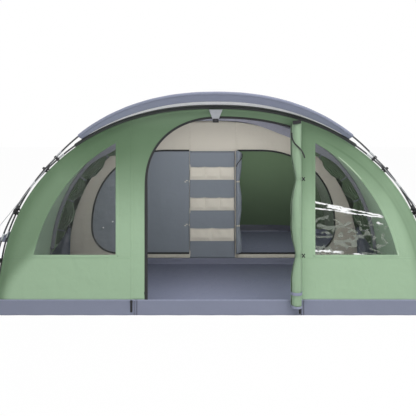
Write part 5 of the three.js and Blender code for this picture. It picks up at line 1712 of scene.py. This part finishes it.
class TENT_OT_fittings(bpy.types.Operator):
    """Pole clips, zip sliders and the webbing that holds the pole feet to the fly"""

    bl_idname = "tent.fittings"
    bl_label = "Fittings"

    def execute(self, context):
        for side, sign in SIDES.items():
            self.clips(side, sign)
            self.pole_straps(side, sign)
            self.feet(side, sign)
        for name, drop in (("front", (0, 0, -1)), ("bedroom", (1, 0, 0))):
            self.slider(name, np.array(drop, float))
        return {"FINISHED"}

    def clips(self, side, sign):
        """A ring round the front pole and a hook from it to the fly."""
        for place, share in (("upper", 0.53), ("lower", 0.70)):
            near = upright_route(sign * np.linspace(share - 0.012, share + 0.012, 60), FRONT_ARCH)
            along = unit(near[31] - near[29])
            middle = near[30]
            ring = middle + along * np.linspace(-0.015, 0.015, 10)[:, None]
            x, z = arch(sign * share, 0.002)
            foot = np.array([float(x), FRONT_ARCH, float(z)])
            arm = resample(np.stack([foot, middle]), 12)
            grids = [tube(ring, 0.0114, 18), sweep(arm, (0, 1, 0), 0.006, 0.0035, 12, 0.5)]
            grids.append(bead(foot + (middle - foot) * 0.06, (0.018, 0.02, 0.012), 0.6))
            piece(f"clip_{side}_{place}_hook", black_plastic(), *grids, nodes=[f"clip_{side}_{place}"])

    def pole_straps(self, side, sign):
        """Webbing loops that hold the two front poles to the fly, each with a plastic hook."""
        loops, hooks = [], []
        for height in (1.47, 1.36, 0.99, 0.95, 0.476):
            share = sign * share_at(height)
            x, z = arch(share, 0.001)
            foot = np.array([float(x), FRONT_ARCH, float(z)])
            front, brow = upright_route(np.array([share]), FRONT_ARCH)[0], brow_route(np.array([share]))[0]
            out = unit(front - foot)
            tip = (front if np.dot(front - foot, out) > np.dot(brow - foot, out) else brow) + out * 0.016
            loops.append(sweep(resample(np.stack([foot, tip]), 16), (0, 1, 0), 0.011, 0.0035, 12, 0.4))
            grip = resample(np.stack([front - out * 0.013, tip]), 10)
            hooks.append(sweep(grip, (0, 1, 0), 0.016, 0.012, 14, 0.6))
        piece(f"pole_straps_{side}", black_webbing(), *loops)
        piece(f"pole_hooks_{side}", black_plastic(), *hooks)

    def feet(self, side, sign):
        """A strap from the fly's hem out to the ring under each pole foot."""
        straps, rings = [], []
        for y in (FRONT_ARCH, MIDDLE_ARCH, REAR_ARCH):
            pole = upright_route(np.array([sign * 0.992]), y)[0]
            start = np.array([sign * (FLY[0] + 0.001), y, 0.03])
            end = np.array([pole[0], y, 0.012])
            straps.append(sweep(resample(np.stack([start, end]), 16), (0, 1, 0), 0.01, 0.0012, 12, 0.35))
            turn = np.linspace(0, 2 * np.pi, 33)
            ring = points(pole[0] + 0.015 * np.cos(turn), y + 0.015 * np.sin(turn), 0.008)
            rings.append(tube(ring, 0.0022, 8, across=(0, 0, 1)))
        piece(f"foot_webbing_{side}", black_webbing(), *straps)
        piece(f"foot_rings_{side}", plated_steel(), *rings)

    def slider(self, name, drop):
        """A slider with a flat pull."""
        node = f"zip_slider_{name}"
        low, high = (np.array(end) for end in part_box(node))
        middle, size = (low + high) / 2, high - low
        pull = middle + drop * (size[2] if name == "front" else size[0]) * 0.9 + np.array([0, -0.001, 0])
        long = np.abs(drop) * 0.02 + np.array([0.007, 0.0024, 0.007]) * (1 - np.abs(drop))
        grids = [bead(middle, size, 0.5), bead(pull, long, 0.5)]
        piece(f"{node}_body_and_pull", black_plastic(), *grids, body=f"{node}_body", nodes=[node])


# ---------------------------------------------------------------- add-on


OPERATORS = (
    TENT_OT_stage, TENT_OT_guylines, TENT_OT_poles, TENT_OT_fly, TENT_OT_brow, TENT_OT_front, TENT_OT_windows,
    TENT_OT_rolled_door, TENT_OT_hoods, TENT_OT_bedrooms, TENT_OT_organiser, TENT_OT_curtains,
    TENT_OT_groundsheets, TENT_OT_fittings,
)


class TENT_PT_panel(bpy.types.Panel):
    """Sizes, colours and makers of the tent"""

    bl_idname = "TENT_PT_panel"
    bl_label = "Tent"
    bl_space_type = "VIEW_3D"
    bl_region_type = "UI"
    bl_category = "Tent"

    def draw(self, context):
        for group in (context.scene.tent_sizes, context.scene.tent_colours):
            for key in group.__annotations__:
                self.layout.prop(group, key)
        for operator in OPERATORS:
            self.layout.operator(operator.bl_idname)


CLASSES = (TentColours, TentSizes, *OPERATORS, TENT_PT_panel)


def register():
    for each in CLASSES:
        bpy.utils.register_class(each)
    bpy.types.Scene.tent_colours = PointerProperty(type=TentColours)
    bpy.types.Scene.tent_sizes = PointerProperty(type=TentSizes)


def unregister():
    del bpy.types.Scene.tent_sizes
    del bpy.types.Scene.tent_colours
    for each in reversed(CLASSES):
        bpy.utils.unregister_class(each)


def main():
    register()
    for operator in OPERATORS:
        getattr(bpy.ops.tent, operator.bl_idname.split(".")[1])()


if __name__ == "__main__":
    main()
